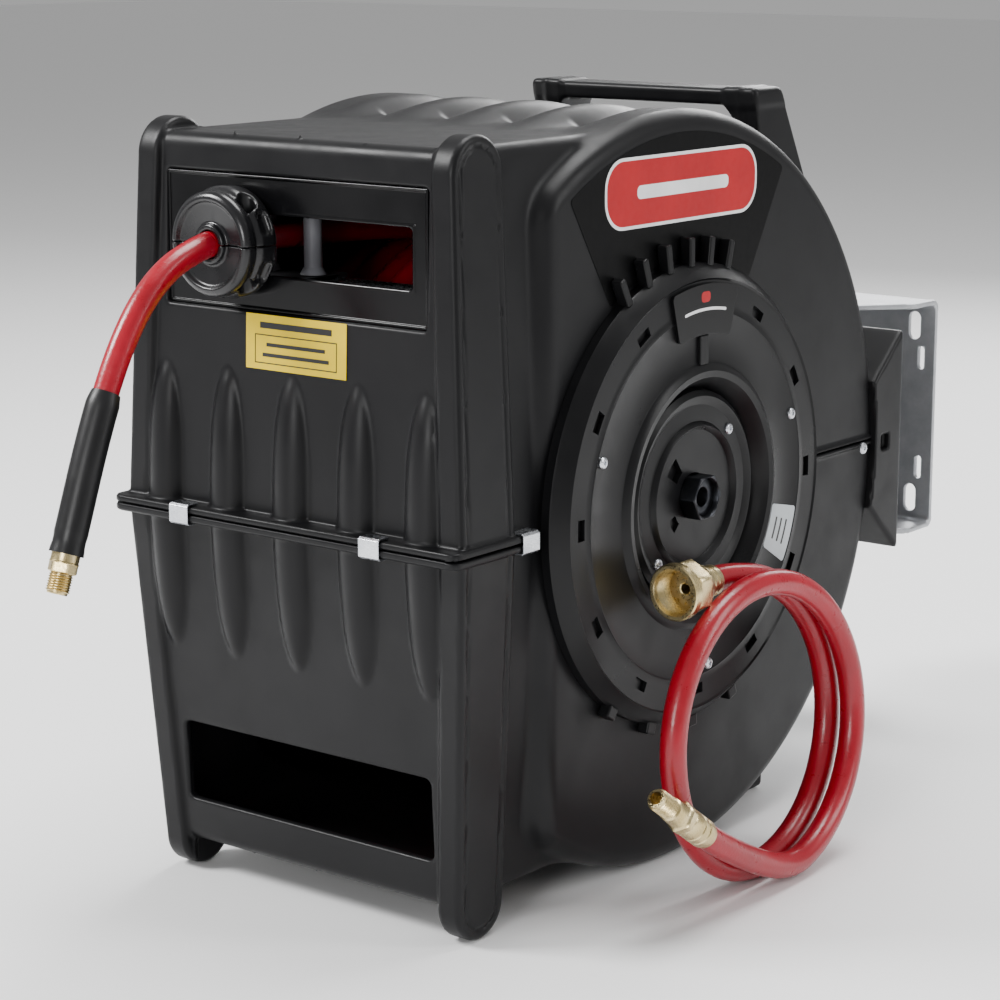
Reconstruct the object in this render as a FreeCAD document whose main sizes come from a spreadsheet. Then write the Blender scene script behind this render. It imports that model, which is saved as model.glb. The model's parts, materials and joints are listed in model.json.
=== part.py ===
"""Retractable levelwind hose reel: a two-part moulded case with a sprung hose drum, on a steel wall bracket.

The row frame is in millimetres: +X is the right-hand side, -Y the hose side, +Y the wall side, +Z up.
The origin is on the ground, under the middle of the reel without its loose hoses.
"""

import FreeCAD, Part
import math
import os
import re

import Sketcher

Vector = FreeCAD.Vector
PARTS_FOLDER = "parts"
X_AXIS = Vector(1, 0, 0)
Y_AXIS = Vector(0, 1, 0)
Z_AXIS = Vector(0, 0, 1)
TURNED_TO = {
    "X": FreeCAD.Rotation(X_AXIS, X_AXIS),
    "Y": FreeCAD.Rotation(X_AXIS, Y_AXIS),
    "-Y": FreeCAD.Rotation(X_AXIS, -Y_AXIS),
    "Z": FreeCAD.Rotation(X_AXIS, Z_AXIS),
}
PRIMITIVE_TO = {
    "X": FreeCAD.Rotation(Z_AXIS, X_AXIS),
    "Y": FreeCAD.Rotation(X_AXIS, -90),
    "Z": FreeCAD.Rotation(),
}

SIZES = [
    ("front_y", -282, "front of the case at the parting line"),
    ("rear_y", 300, "back of the wall plate"),
    ("axis_y", -62, "drum axis"),
    ("axis_z", 234, "drum axis and parting plane"),
    ("wall", 3, "moulded wall"),
    ("gap", 0.3, "gap between pieces that do not touch"),
    ("drum_side", 125, "side plane of the drum housing"),
    ("rib_r", 233.5, "crest of the housing ribs"),
    ("valley_r", 228, "valley between the ribs"),
    ("housing_front", -206, "where the round housing meets the front box"),
    ("rib_pitch", 50, "rib and flute spacing"),
    ("rib_half", 15, "half of a rib's width"),
    ("box_mid_half", 124.5, "front box half width at the parting plane"),
    ("box_top_half", 115, "front box half width at its top"),
    ("box_low_half", 113, "front box half width at its bottom"),
    ("box_top_z", 457, "top plate"),
    ("box_low_z", 20, "bottom plate"),
    ("panel_in", 3.5, "front panel behind the pillars' front"),
    ("top_lean", 7, "how far the front leans back at the top"),
    ("low_lean", 12, "how far the front leans back at the bottom"),
    ("pillar_mid_half", 129.5, "pillar outer face at the parting plane"),
    ("pillar_top_half", 118, "pillar outer face at the top"),
    ("pillar_low_half", 116, "pillar outer face at the bottom"),
    ("pillar_wide", 15, "pillar thickness"),
    ("pillar_deep", 50, "pillar depth at the parting plane"),
    ("pillar_end_r", 21, "rounded pillar end"),
    ("pillar_top_z", 442, "centre of the upper pillar end"),
    ("lip_out", 10, "parting lip in front of the case"),
    ("lip_side", 4, "parting lip beside the case"),
    ("lip_thick", 3.5, "one flange of the parting lip"),
    ("lip_deep", 76, "parting lip, front to back"),
    ("flute_r", 14, "front flute at its widest"),
    ("flute_in", 6, "axis of a flute behind the front panel"),
    ("flute_tall", 95, "half height of a flute, ends in the panel included"),
    ("window_half", 99, "half width of the window bezel"),
    ("window_low", 357, "bottom of the window bezel"),
    ("window_high", 435, "top of the window bezel"),
    ("slot_half", 87, "half width of the hose slot"),
    ("slot_low", 378, "bottom of the hose slot"),
    ("slot_high", 413, "top of the hose slot"),
    ("bezel_y", -272, "front of the window bezel"),
    ("vent_half", 97, "half width of the lower opening"),
    ("vent_low", 48.5, "bottom of the lower opening"),
    ("vent_high", 98, "top of the lower opening"),
    ("skid_half", 90, "half width of the rear foot"),
    ("skid_y", 68, "front of the rear foot"),
    ("skid_deep", 26, "rear foot, front to back"),
    ("cover_r", 142, "side cover at the case"),
    ("cover_rim_r", 134, "side cover at its front rim"),
    ("cover_face", 139, "side cover face"),
    ("bowl_face", 143, "raised rim round the hub"),
    ("bowl_r", 77, "outside of the raised rim"),
    ("hub_r", 65.5, "hub cap"),
    ("hub_ring_r", 44, "ring on the hub cap"),
    ("cap_bore", 14.5, "hole in the hub cap"),
    ("reel_half", 145, "half width of the whole reel, at the axle ends"),
    ("axle_r", 12, "fixed hollow axle"),
    ("axle_bore", 6, "water way in the axle"),
    ("running", 0.05, "radial clearance of a running fit"),
    ("bush_r", 16, "outside of a drum bush"),
    ("core_r", 90, "drum core"),
    ("flange_r", 185, "drum flange"),
    ("flange_in", 90, "inner face of a drum flange"),
    ("flange_thick", 3, "drum flange"),
    ("boss_r", 30, "drum flange boss"),
    ("boss_end", 97.9, "outer end of a drum flange boss"),
    ("pack_r", 155, "wound hose on the drum"),
    ("hose_z", 397, "height of the hose in the slot"),
    ("hose_x", -41, "hose and carriage at rest"),
    ("hose_r", 7.5, "working hose"),
    ("screw_y", -234, "levelwind screw"),
    ("screw_z", 430, "levelwind screw"),
    ("screw_r", 8, "levelwind screw"),
    ("rod_front_y", -252, "front guide rod"),
    ("rod_back_y", -216, "back guide rod"),
    ("rod_z", 366, "guide rods"),
    ("rod_r", 6, "guide rods"),
    ("rod_half", 112, "half length of the guide rods"),
    ("pulley_r", 16, "belt pulleys"),
    ("pulley_x", 98, "inner face of the belt pulleys"),
    ("pulley_wide", 6, "belt pulleys"),
    ("belt_thick", 2.7, "levelwind belt"),
    ("roller_x", 18, "guide roller beside the hose"),
    ("roller_y", -230, "guide rollers"),
    ("roller_r", 5.5, "guide rollers"),
    ("roller_pin_r", 2.5, "guide roller pins"),
    ("carriage_half", 26, "half width of the carriage"),
    ("carriage_low", 358, "bottom of the carriage"),
    ("carriage_mid", 374, "top of the lower carriage block"),
    ("carriage_upper", 416, "bottom of the upper carriage block"),
    ("carriage_high", 443, "top of the carriage"),
    ("stop_r", 32, "hose stop"),
    ("stop_front", -300, "front of the hose stop"),
    ("stop_back", -272.4, "back of the hose stop"),
    ("ratchet_r", 50, "ratchet wheel over its teeth"),
    ("ratchet_root", 43, "ratchet wheel at its roots"),
    ("ratchet_x", -104, "outer face of the ratchet wheel"),
    ("ratchet_wide", 6, "ratchet wheel"),
    ("pawl_y", -20, "pawl pin"),
    ("pawl_z", 314, "pawl pin"),
    ("pawl_pin_r", 4, "pawl pin"),
    ("arbor_r", 22, "mainspring arbor"),
    ("spring_r", 80, "outside of the mainspring"),
    ("spring_half", 40, "half width of the mainspring"),
    ("handle_half", 90, "half width of the carry handle"),
    ("handle_top", 471, "top of the carry handle"),
    ("handle_leg", 14, "carry handle leg"),
    ("handle_y", 68, "front of the carry handle"),
    ("handle_deep", 31, "carry handle grip, front to back"),
    ("grip_thick", 11, "carry handle grip"),
    ("block_half", 130, "half width of the pivot block"),
    ("block_back", 198, "back of the pivot block"),
    ("block_low", 151, "bottom of the pivot block"),
    ("block_high", 307, "top of the pivot block"),
    ("pivot_y", 183, "bracket pivot"),
    ("pin_r", 8, "bracket pivot pin"),
    ("plate_half", 100, "half width of the wall plate"),
    ("plate_low", 146, "bottom of the wall plate"),
    ("plate_high", 312, "top of the wall plate"),
    ("steel", 4, "bracket plate"),
    ("ear_r", 18, "bracket ear"),
    ("slot_x", 82, "wall slots from the middle"),
    ("slot_pitch", 126, "wall slots, one above the other"),
    ("slot_r", 4.5, "half width of a wall slot"),
    ("slot_long", 20, "length of a wall slot"),
    ("lead_r", 8, "lead-in hose"),
    ("lead_x", 162, "lead-in hose coupling"),
    ("lead_z", 189, "lead-in hose coupling"),
    ("coil_y", -58, "middle of the lead-in coil"),
    ("coil_z", 96.5, "middle of the lead-in coil"),
    ("coil_ry", 93, "lead-in coil, half depth at the hose centre"),
    ("coil_rz", 88, "lead-in coil, half height at the hose centre"),
    ("coil_lean", 0.073, "how far the coil leans to the case, for each millimetre of height"),
    ("coil_inside", 160, "case side of the lead-in coil at its middle height"),
    ("coil_outside", 211, "far side of the lead-in coil at its middle height"),
    ("skid_tall", 75, "top of the rear foot"),
    ("label_x", -35, "left edge of the caution label"),
    ("label_z", 324, "bottom of the caution label"),
    ("label_wide", 77, "caution label"),
    ("label_tall", 32, "caution label"),
    ("label_thick", 0.4, "labels and decals"),
    ("clip_wide", 16, "lip clip"),
    ("clip_back", 9, "how far a clip's jaws reach over the lip"),
    ("clip_wall", 1.5, "spring clip's front wall"),
    ("clip_over", 2, "a clip's jaw above or below the lip"),
    ("decal_half_angle", 30.5, "side decal, each way from its middle, in degrees"),
    ("decal_angle", 91, "middle of the side decal, in degrees from the wall side"),
    ("plaque_thick", 2.4, "name plaque"),
    ("cover_screw_r", 108, "cover screws from the drum axis"),
    ("cover_head_r", 4, "head of a cover screw"),
    ("cover_shank_r", 1.8, "shank of a cover screw"),
    ("cover_shank", 12, "length of a cover screw's shank"),
    ("leg_drop", 66, "height of the carry handle's fins"),
    ("leg_slope", 36, "how far a fin runs back below the grip"),
    ("leg_front", 10, "how far a fin's front edge runs back"),
    ("apex_y", 132, "front of the pivot block"),
    ("apex_above", 15, "pivot block's front edge above the parting plane"),
    ("apex_below", 21, "pivot block's front edge below the parting plane"),
    ("flange_straight", 30, "bracket flange's straight end at the wall"),
    ("pin_out", 9, "pivot pin beyond the bracket at each end"),
    ("pivot_nut_r", 13, "pivot nuts"),
    ("pivot_nut_tall", 7, "pivot nuts"),
    ("nut_corner_r", 15, "axle nut over its corners"),
    ("teeth", 24, "ratchet teeth"),
    ("pawl_hub_r", 9, "pawl hub"),
    ("stop_screw_x", 19, "hose stop screws from the hose"),
    ("stop_screw_y", 12, "hose stop screws behind the front of the stop"),
    ("stop_screw_z", 22, "underside of the hose stop screws' heads above the hose"),
    ("stop_head_r", 3, "head of a hose stop screw"),
    ("stop_shank_r", 1.6, "shank of a hose stop screw"),
    ("stop_shank", 30, "length of a hose stop screw's shank"),
    ("sleeve_r", 9.5, "bend restrictor"),
    ("coupling_y", -123, "open end of the coupling nut"),
]

doc = FreeCAD.newDocument("HoseReel")
sheet = doc.addObject("Spreadsheet::Sheet", "Sizes")
for row, (alias, number, note) in enumerate(SIZES, start=1):
    sheet.set(f"A{row}", note)
    sheet.set(f"B{row}", str(number))
    sheet.setAlias(f"B{row}", alias)
doc.recompute()

NODES = {}


def size(alias):
    """The number in the sheet's cell of that name."""
    return float(sheet.get(alias))


def bind(thing, prop, formula):
    """Drives a property by a formula in the sheet's names."""
    thing.setExpression(prop, re.sub(r"[a-z][a-z_]+", lambda found: "Sizes." + found.group(0), str(formula)))


def place(thing, position, rotation):
    """Sets a rotation, and drives the position by three formulas."""
    thing.Placement = FreeCAD.Placement(Vector(), rotation)
    for letter, formula in zip("xyz", position):
        bind(thing, "Placement.Base." + letter, formula)
    return thing


def node(name, thing):
    """Names a finished sub-part, which is written to its own file."""
    thing.Label = name
    NODES[name] = thing
    return thing


def primitive(kind, name, position=(0, 0, 0), axis="Z", **formulas):
    """A Part primitive whose sizes follow the sheet."""
    thing = doc.addObject("Part::" + kind, name)
    for prop, formula in formulas.items():
        bind(thing, prop, formula)
    return place(thing, position, PRIMITIVE_TO[axis])


def block(name, low, spans):
    """A box from its lowest corner and its three sides."""
    return primitive("Box", name, low, Length=spans[0], Width=spans[1], Height=spans[2])


def rod(name, start, radius, length, axis):
    return primitive("Cylinder", name, start, axis, Radius=radius, Height=length)


def fused(name, pieces):
    thing = doc.addObject("Part::MultiFuse", name)
    thing.Shapes = pieces
    return thing


def cut(name, base, *tools):
    thing = doc.addObject("Part::Cut", name)
    thing.Base = base
    thing.Tool = tools[0] if len(tools) == 1 else fused(name + "_tools", list(tools))
    return thing


def common(name, first, second):
    thing = doc.addObject("Part::MultiCommon", name)
    thing.Shapes = [first, second]
    return thing


def mirrored(name, source, normal=X_AXIS):
    thing = doc.addObject("Part::Mirroring", name)
    thing.Source = source
    thing.Normal = normal
    return thing


def feature(name, shape):
    """A sub-part whose shape is worked out here from the sheet's sizes."""
    thing = doc.addObject("Part::Feature", name)
    thing.Shape = shape
    thing.Placement = FreeCAD.Placement()
    return thing


def sketched(body, plane, points):
    """A closed outline on one of the body's own planes, each corner held by two driven distances."""
    sketch = body.newObject("Sketcher::SketchObject", body.Name + "_outline")
    origin_plane = [item for item in body.Origin.OriginFeatures if item.Role == plane][0]
    sketch.AttachmentSupport = [(origin_plane, "")]
    sketch.MapMode = "FlatFace"
    count = len(points)
    angles = [2 * math.pi * i / count for i in range(count)]
    start = [Vector(math.cos(angle), math.sin(angle)) * 50 for angle in angles]
    for i in range(count):
        sketch.addGeometry(Part.LineSegment(start[i], start[(i + 1) % count]))
    for i in range(count):
        sketch.addConstraint(Sketcher.Constraint("Coincident", i, 2, (i + 1) % count, 1))
    for i, corner in enumerate(points):
        for direction, formula in zip(("DistanceX", "DistanceY"), corner):
            rule = sketch.addConstraint(Sketcher.Constraint(direction, -1, 1, i, 1, 1.0 + i))
            bind(sketch, f"Constraints[{rule}]", formula)
    return sketch


def turned(name, profile, position, axis="X"):
    """A body of revolution: the profile's corners are (along the axis, radius)."""
    body = doc.addObject("PartDesign::Body", name)
    sketch = sketched(body, "XY_Plane", profile)
    doc.recompute()
    turn = body.newObject("PartDesign::Revolution", name + "_turn")
    turn.Profile = sketch
    turn.ReferenceAxis = (sketch, ["H_Axis"])
    turn.Angle = 360
    return place(body, position, TURNED_TO[axis])


def ring(name, start, end, inner, outer, position, axis="X"):
    """A plain washer or tube."""
    profile = [(start, inner), (end, inner), (end, outer), (start, outer)]
    return turned(name, profile, position, axis)


def extruded(name, plane, outline, length, position=(0, 0, 0), both_ways=True):
    """A body of constant section."""
    body = doc.addObject("PartDesign::Body", name)
    sketch = sketched(body, plane, outline)
    doc.recompute()
    pad = body.newObject("PartDesign::Pad", name + "_pad")
    pad.Profile = sketch
    bind(pad, "Length", length)
    pad.SideType = "Symmetric" if both_ways else "One side"
    return place(body, position, FreeCAD.Rotation())


def prism(corners, direction):
    """A solid from a flat closed outline pushed along a direction."""
    wire = Part.makePolygon(corners + corners[:1])
    return Part.Face(wire).extrude(direction)


# --- Case -------------------------------------------------------------------------------------------------

DRUM_AXIS = (0, "axis_y", "axis_z")


def rib_profile():
    """The housing's outside, with five ribs from side to side."""
    profile = [("-drum_side", 0), ("-drum_side", "valley_r")]
    for rib in range(-2, 3):
        profile.append((f"{rib} * rib_pitch - rib_half", "valley_r"))
        profile.append((f"{rib} * rib_pitch - rib_half / 2", "rib_r"))
        profile.append((f"{rib} * rib_pitch + rib_half / 2", "rib_r"))
        profile.append((f"{rib} * rib_pitch + rib_half", "valley_r"))
    return profile + [("drum_side", "valley_r"), ("drum_side", 0)]


def front_box(name, half_at_far, far_lean, height, inset, upper):
    """One half of the front box: a tapered block that grows up or down from the parting plane."""
    wedge = doc.addObject("Part::Wedge", name)
    side = "" if upper else "-"
    formulas = {
        "Xmin": f"-(box_mid_half - {inset})",
        "Xmax": f"box_mid_half - {inset}",
        "X2min": f"-({half_at_far} - {inset})",
        "X2max": f"{half_at_far} - {inset}",
        "Zmin": f"front_y + panel_in + {inset}",
        "Zmax": "axis_y",
        "Z2min": f"front_y + panel_in + {far_lean} + {inset}",
        "Z2max": "axis_y",
        "Ymin": "0",
        "Ymax": f"{height} - {inset}",
    }
    turn = FreeCAD.Rotation(X_AXIS, 90)
    if upper:
        for low, high in (("Zmin", "Zmax"), ("Z2min", "Z2max")):
            formulas[low], formulas[high] = f"-({formulas[high]})", f"-({formulas[low]})"
    else:
        turn = FreeCAD.Rotation(X_AXIS, -90)
    for prop, formula in formulas.items():
        bind(wedge, prop, formula)
    return place(wedge, (0, 0, "axis_z"), turn)


def pillar():
    """The right-hand corner pillar with its rounded top and foot."""
    half_deep = size("pillar_deep") / 2
    end_r = size("pillar_end_r")
    wide = size("pillar_wide")
    mid_y = size("front_y") + half_deep
    top = (size("pillar_top_half"), size("front_y") + size("top_lean") + end_r, size("pillar_top_z"))
    middle = (size("pillar_mid_half"), mid_y, size("axis_z"))
    foot = (size("pillar_low_half"), size("front_y") + size("low_lean") + end_r, end_r)

    def section(station, reach):
        """The pillar's outline at one height; a station is its outer face, its middle and its height."""
        outer, y, z = station
        inner = outer - wide
        corners = [(inner, y - reach), (outer, y - reach), (outer, y + reach), (inner, y + reach)]
        points = [Vector(x, across, z) for x, across in corners]
        return Part.makePolygon(points + points[:1])

    widest = section(middle, half_deep)
    pieces = []
    for outer, y, z in (top, foot):
        pieces.append(Part.makeCylinder(end_r, wide, Vector(outer - wide, y, z), X_AXIS))
        pieces.append(Part.makeLoft([section((outer, y, z), end_r), widest], True, True))
    return pieces[0].fuse(pieces[1:])


def flute(x):
    """A spindle that stands in the front panel and bulges out of it."""
    spindle_y = size("front_y") + size("panel_in") + size("flute_in")
    foot = Vector(x, spindle_y, size("axis_z") - size("flute_tall"))
    top = foot + Vector(0, 0, 2 * size("flute_tall"))
    widest = (foot + top) * 0.5 + Vector(size("flute_r"), 0, 0)
    outline = Part.Wire([Part.Arc(foot, widest, top).toShape(), Part.LineSegment(top, foot).toShape()])
    return Part.Face(outline).revolve(foot, Z_AXIS, 360)


def make_case():
    """Both shells: everything outside fused, the inside and the openings cut away, then parted."""
    behind = block("behind_box", (-300, "housing_front", -300), (600, 600, 1000))
    housing = common("housing", turned("whole_housing", rib_profile(), DRUM_AXIS), behind)
    upper_box = front_box("upper_box", "box_top_half", "top_lean", "(box_top_z - axis_z)", "0", True)
    lower_box = front_box("lower_box", "box_low_half", "low_lean", "(axis_z - box_low_z)", "0", False)
    right_pillar = feature("right_pillar", pillar())
    left_pillar = mirrored("left_pillar", right_pillar)
    lip = block(
        "lip",
        ("-pillar_mid_half - lip_side", "front_y - lip_out", "axis_z - lip_thick"),
        ("2 * (pillar_mid_half + lip_side)", "lip_deep + lip_out", "2 * lip_thick"),
    )
    skid = block("skid", ("-skid_half", "skid_y", "0"), ("2 * skid_half", "skid_deep", "skid_tall"))
    flutes = [feature(f"flute_{i + 3}", flute(i * size("rib_pitch"))) for i in range(-2, 3)]
    outside = fused("outside", [housing, upper_box, lower_box, right_pillar, left_pillar, lip, skid, *flutes])

    room_start = ("-drum_side + wall", "axis_y", "axis_z")
    round_room = rod("round_room", room_start, "valley_r - wall", "2 * (drum_side - wall)", "X")
    drum_room = common("drum_room", round_room, behind)
    upper_room = front_box("upper_room", "box_top_half", "top_lean", "(box_top_z - axis_z)", "wall", True)
    lower_room = front_box("lower_room", "box_low_half", "low_lean", "(axis_z - box_low_z)", "wall", False)
    window = block(
        "window",
        ("-window_half - gap", "front_y - 20", "window_low - gap"),
        ("2 * (window_half + gap)", "40", "window_high - window_low + 2 * gap"),
    )
    vent = block(
        "vent", ("-vent_half", "front_y - 20", "vent_low"), ("2 * vent_half", "50", "vent_high - vent_low")
    )
    hub_hole = rod("hub_hole", ("-drum_side - 20", "axis_y", "axis_z"), "bush_r", "2 * (drum_side + 20)", "X")
    hollow = cut("hollow", outside, drum_room, upper_room, lower_room, window, vent, hub_hole)

    for name, low in (("upper_shell", "axis_z"), ("lower_shell", "axis_z - 300")):
        half = block(name + "_half", ("-200", "-400", low), ("400", "700", "300"))
        node(name, common(name, hollow, half))


def make_front():
    """The window bezel and the caution label on the front."""
    plate = block(
        "bezel_plate",
        ("-window_half", "bezel_y", "window_low"),
        ("2 * window_half", "wall + 1", "window_high - window_low"),
    )
    slot = block(
        "bezel_slot",
        ("-slot_half", "bezel_y - 5", "slot_low"),
        ("2 * slot_half", "15", "slot_high - slot_low"),
    )
    node("window_bezel", cut("window_bezel", plate, slot))

    label = block("caution_label", ("label_x", 0, 0), ("label_wide", "label_thick", "label_tall"))
    lean = math.degrees(math.atan2(size("top_lean"), size("box_top_z") - size("axis_z")))
    panel_y = "front_y + panel_in + top_lean * (label_z - axis_z) / (box_top_z - axis_z)"
    place(label, ("label_x", f"{panel_y} - label_thick - 0.2", "label_z"), FreeCAD.Rotation(X_AXIS, -lean))
    node("caution_label", label)


def make_clips():
    """Spring clips that hold the parting lip together, as one group."""
    def clip(name, position, along):
        turn = FreeCAD.Rotation(Z_AXIS, along)
        jaws = "2 * (lip_thick + clip_over)"
        outer = block(name + "_outer", (0, 0, 0), ("clip_wide", "lip_side + 1.9", jaws))
        inner = block(name + "_inner", (0, 0, 0), ("clip_wide + 2", "clip_back", "2 * lip_thick + 2 * gap"))
        place(outer, position, turn)
        shift = turn.multVec(Vector(-1, size("clip_wall"), 0))
        moved = (
            f"{position[0]} + {shift.x:.3f}", f"{position[1]} + {shift.y:.3f}", "axis_z - lip_thick - gap",
        )
        place(inner, moved, turn)
        return cut(name, outer, inner)

    low = "axis_z - lip_thick - clip_over"
    pieces = [
        clip("clip_front_left", (-84, "front_y - lip_out - 2", low), 0),
        clip("clip_front_right", (64, "front_y - lip_out - 2", low), 0),
        clip("clip_side_right", ("pillar_mid_half + lip_side + 2", -224, low), 90),
        clip("clip_side_left", ("-pillar_mid_half - lip_side - 2", -208, low), -90),
    ]
    node("lip_clips", fused("lip_clips", pieces))


def make_covers():
    """Side covers, hub caps, their plaques, decals and labels."""
    cover = turned(
        "side_cover_right",
        [
            ("drum_side + gap", "hub_r + 0.5"), ("drum_side + gap", "cover_r"),
            ("drum_side + 6", "cover_r"), ("cover_face", "cover_rim_r"),
            ("cover_face", "bowl_r + 6"), ("bowl_face", "bowl_r"),
            ("bowl_face", "bowl_r - 6"), ("cover_face - 6", "hub_r + 0.5"),
        ],
        DRUM_AXIS,
    )
    node("side_cover_right", cover)
    cap = turned(
        "hub_cap_right",
        [
            ("drum_side + gap", "cap_bore"), ("drum_side + gap", "hub_r"),
            ("drum_side + 8", "hub_r"), ("drum_side + 12", "hub_r - 6"),
            ("drum_side + 12", "hub_ring_r"), ("drum_side + 8", "hub_ring_r - 4"),
            ("drum_side + 8", "cap_bore"),
        ],
        DRUM_AXIS,
    )
    node("hub_cap_right", cap)
    node("side_cover_left", mirrored("side_cover_left", cover))
    node("hub_cap_left", mirrored("hub_cap_left", cap))

    def sector(inner, outer, middle, half_angle, low_x, thick):
        """A flat piece between two radii about the drum axis; angles run from +Y towards +Z."""
        centre = Vector(low_x, size("axis_y"), size("axis_z"))
        first, last = math.radians(middle - half_angle), math.radians(middle + half_angle)

        def at(radius, angle):
            return centre + Vector(0, radius * math.cos(angle), radius * math.sin(angle))

        outline = Part.Wire([
            Part.LineSegment(at(inner, first), at(outer, first)).toShape(),
            Part.Arc(at(outer, first), at(outer, (first + last) / 2), at(outer, last)).toShape(),
            Part.LineSegment(at(outer, last), at(inner, last)).toShape(),
            Part.Arc(at(inner, last), at(inner, (first + last) / 2), at(inner, first)).toShape(),
        ])
        return Part.Face(outline).extrude(Vector(thick, 0, 0))

    side, face = size("drum_side"), size("cover_face")
    thin = size("label_thick")
    decal_angle, decal_half = size("decal_angle"), size("decal_half_angle")
    decal = sector(size("cover_r") + 2, size("valley_r") - 7, decal_angle, decal_half, side + 0.02, thin)
    node("side_decal_right", feature("side_decal_right", decal))
    node("side_decal_left", mirrored("side_decal_left", NODES["side_decal_right"]))
    plaque = sector(102, 130, 90, 15, face + 0.02, size("plaque_thick"))
    node("name_plaque", feature("name_plaque", plaque))
    rating = sector(84, 112, -22, 9, face + 0.02, thin)
    node("rating_label", feature("rating_label", rating))


def make_screws():
    """Cover screws on both sides, as one group: heads on the covers, shanks in them."""
    pieces = []
    for side in (1, -1):
        for angle in (-84, 20, 160):
            radius = size("cover_screw_r")
            y = size("axis_y") + radius * math.cos(math.radians(angle))
            z = size("axis_z") + radius * math.sin(math.radians(angle))
            base = Vector(side * size("cover_face"), y, z)
            head = Part.makeCylinder(size("cover_head_r"), 2, base, X_AXIS * side)
            shank = Part.makeCylinder(size("cover_shank_r"), size("cover_shank"), base, X_AXIS * -side)
            pieces.append(head.fuse(shank))
    node("cover_screws", feature("cover_screws", Part.makeCompound(pieces)))


def make_handle():
    """Carry handle: a grip on two fins that stand on the housing."""
    outline = [
        ("handle_y", "handle_top"), ("handle_y + handle_deep", "handle_top"),
        ("handle_y + handle_deep + leg_slope", "handle_top - leg_drop"),
        ("handle_y + leg_front", "handle_top - leg_drop"),
    ]
    legs = extruded("handle_legs", "YZ_Plane", outline, "2 * handle_half")
    finger_gap = block(
        "handle_gap",
        ("-handle_half + handle_leg", "handle_y - 20", "handle_top - 90"),
        ("2 * (handle_half - handle_leg)", "120", "90 - grip_thick"),
    )
    clearance = rod("handle_seat", ("-drum_side", "axis_y", "axis_z"), "rib_r + gap", "2 * drum_side", "X")
    node("carry_handle", cut("carry_handle", legs, finger_gap, clearance))


# --- Wall bracket -----------------------------------------------------------------------------------------


def make_pivot_block():
    """Moulded block behind the drum, bored for the pivot pin."""
    outline = [
        ("apex_y", "axis_z + apex_above"), ("block_back", "block_high"),
        ("block_back", "block_low"), ("apex_y", "axis_z - apex_below"),
    ]
    body = extruded("block_body", "YZ_Plane", outline, "2 * block_half")
    boss = rod("block_boss", (0, "pivot_y", "block_low"), "ear_r", "block_high - block_low", "Z")
    bore = rod("block_bore", (0, "pivot_y", 0), "pin_r + running", 500, "Z")
    seat_start = ("-drum_side - gap", "axis_y", "axis_z")
    seat = rod("block_seat", seat_start, "rib_r + gap", "2 * (drum_side + gap)", "X")
    whole = fused("block_whole", [body, boss])
    node("pivot_block", cut("pivot_block", whole, bore, seat))


def make_bracket():
    """Steel bracket: a wall plate with two flanges that taper to the pivot ears."""
    steel, half = size("steel"), size("plate_half")
    back, pivot = size("rear_y"), size("pivot_y")
    low, high, ear = size("plate_low"), size("plate_high"), size("ear_r")
    bend = back - size("flange_straight")
    plate = Part.makeBox(2 * half, steel, high - low, Vector(-half, back - steel, low))
    flanges = []
    for z in (low, high - steel):
        taper = [Vector(-half, back, z), Vector(half, back, z), Vector(half, bend, z)]
        taper += [Vector(ear, pivot, z), Vector(-ear, pivot, z), Vector(-half, bend, z)]
        flange = prism(taper, Vector(0, 0, steel))
        flange = flange.fuse(Part.makeCylinder(ear, steel, Vector(0, pivot, z)))
        hole = Part.makeCylinder(size("pin_r") + 0.02, 3 * steel, Vector(0, pivot, z - steel))
        flanges.append(flange.cut(hole))
    bracket = plate.fuse(flanges)
    slot_r, reach = size("slot_r"), (size("slot_long") / 2 - size("slot_r"))
    middle = (low + high) / 2
    for x in (-size("slot_x"), size("slot_x")):
        for z in (middle - size("slot_pitch") / 2, middle + size("slot_pitch") / 2):
            start = Vector(x, back - 2 * steel, z)
            slot = Part.makeBox(2 * slot_r, 3 * steel, 2 * reach, start - Vector(slot_r, 0, reach))
            for end in (-reach, reach):
                slot = slot.fuse(Part.makeCylinder(slot_r, 3 * steel, start + Vector(0, 0, end), Y_AXIS))
            bracket = bracket.cut(slot)
    node("wall_bracket", feature("wall_bracket", bracket.removeSplitter()))
    pin_length = "plate_high - plate_low + 2 * pin_out"
    node("pivot_pin", rod("pivot_pin", (0, "pivot_y", "plate_low - pin_out"), "pin_r", pin_length, "Z"))
    nuts = []
    for name, start in (("nut_low", "plate_low - pivot_nut_tall - 0.1"), ("nut_high", "plate_high + 0.1")):
        position = (0, "pivot_y", start)
        nuts.append(ring(name, 0, "pivot_nut_tall", "pin_r + 0.02", "pivot_nut_r", position, "Z"))
    node("pivot_nuts", fused("pivot_nuts", nuts))


# --- Drum -------------------------------------------------------------------------------------------------


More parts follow.
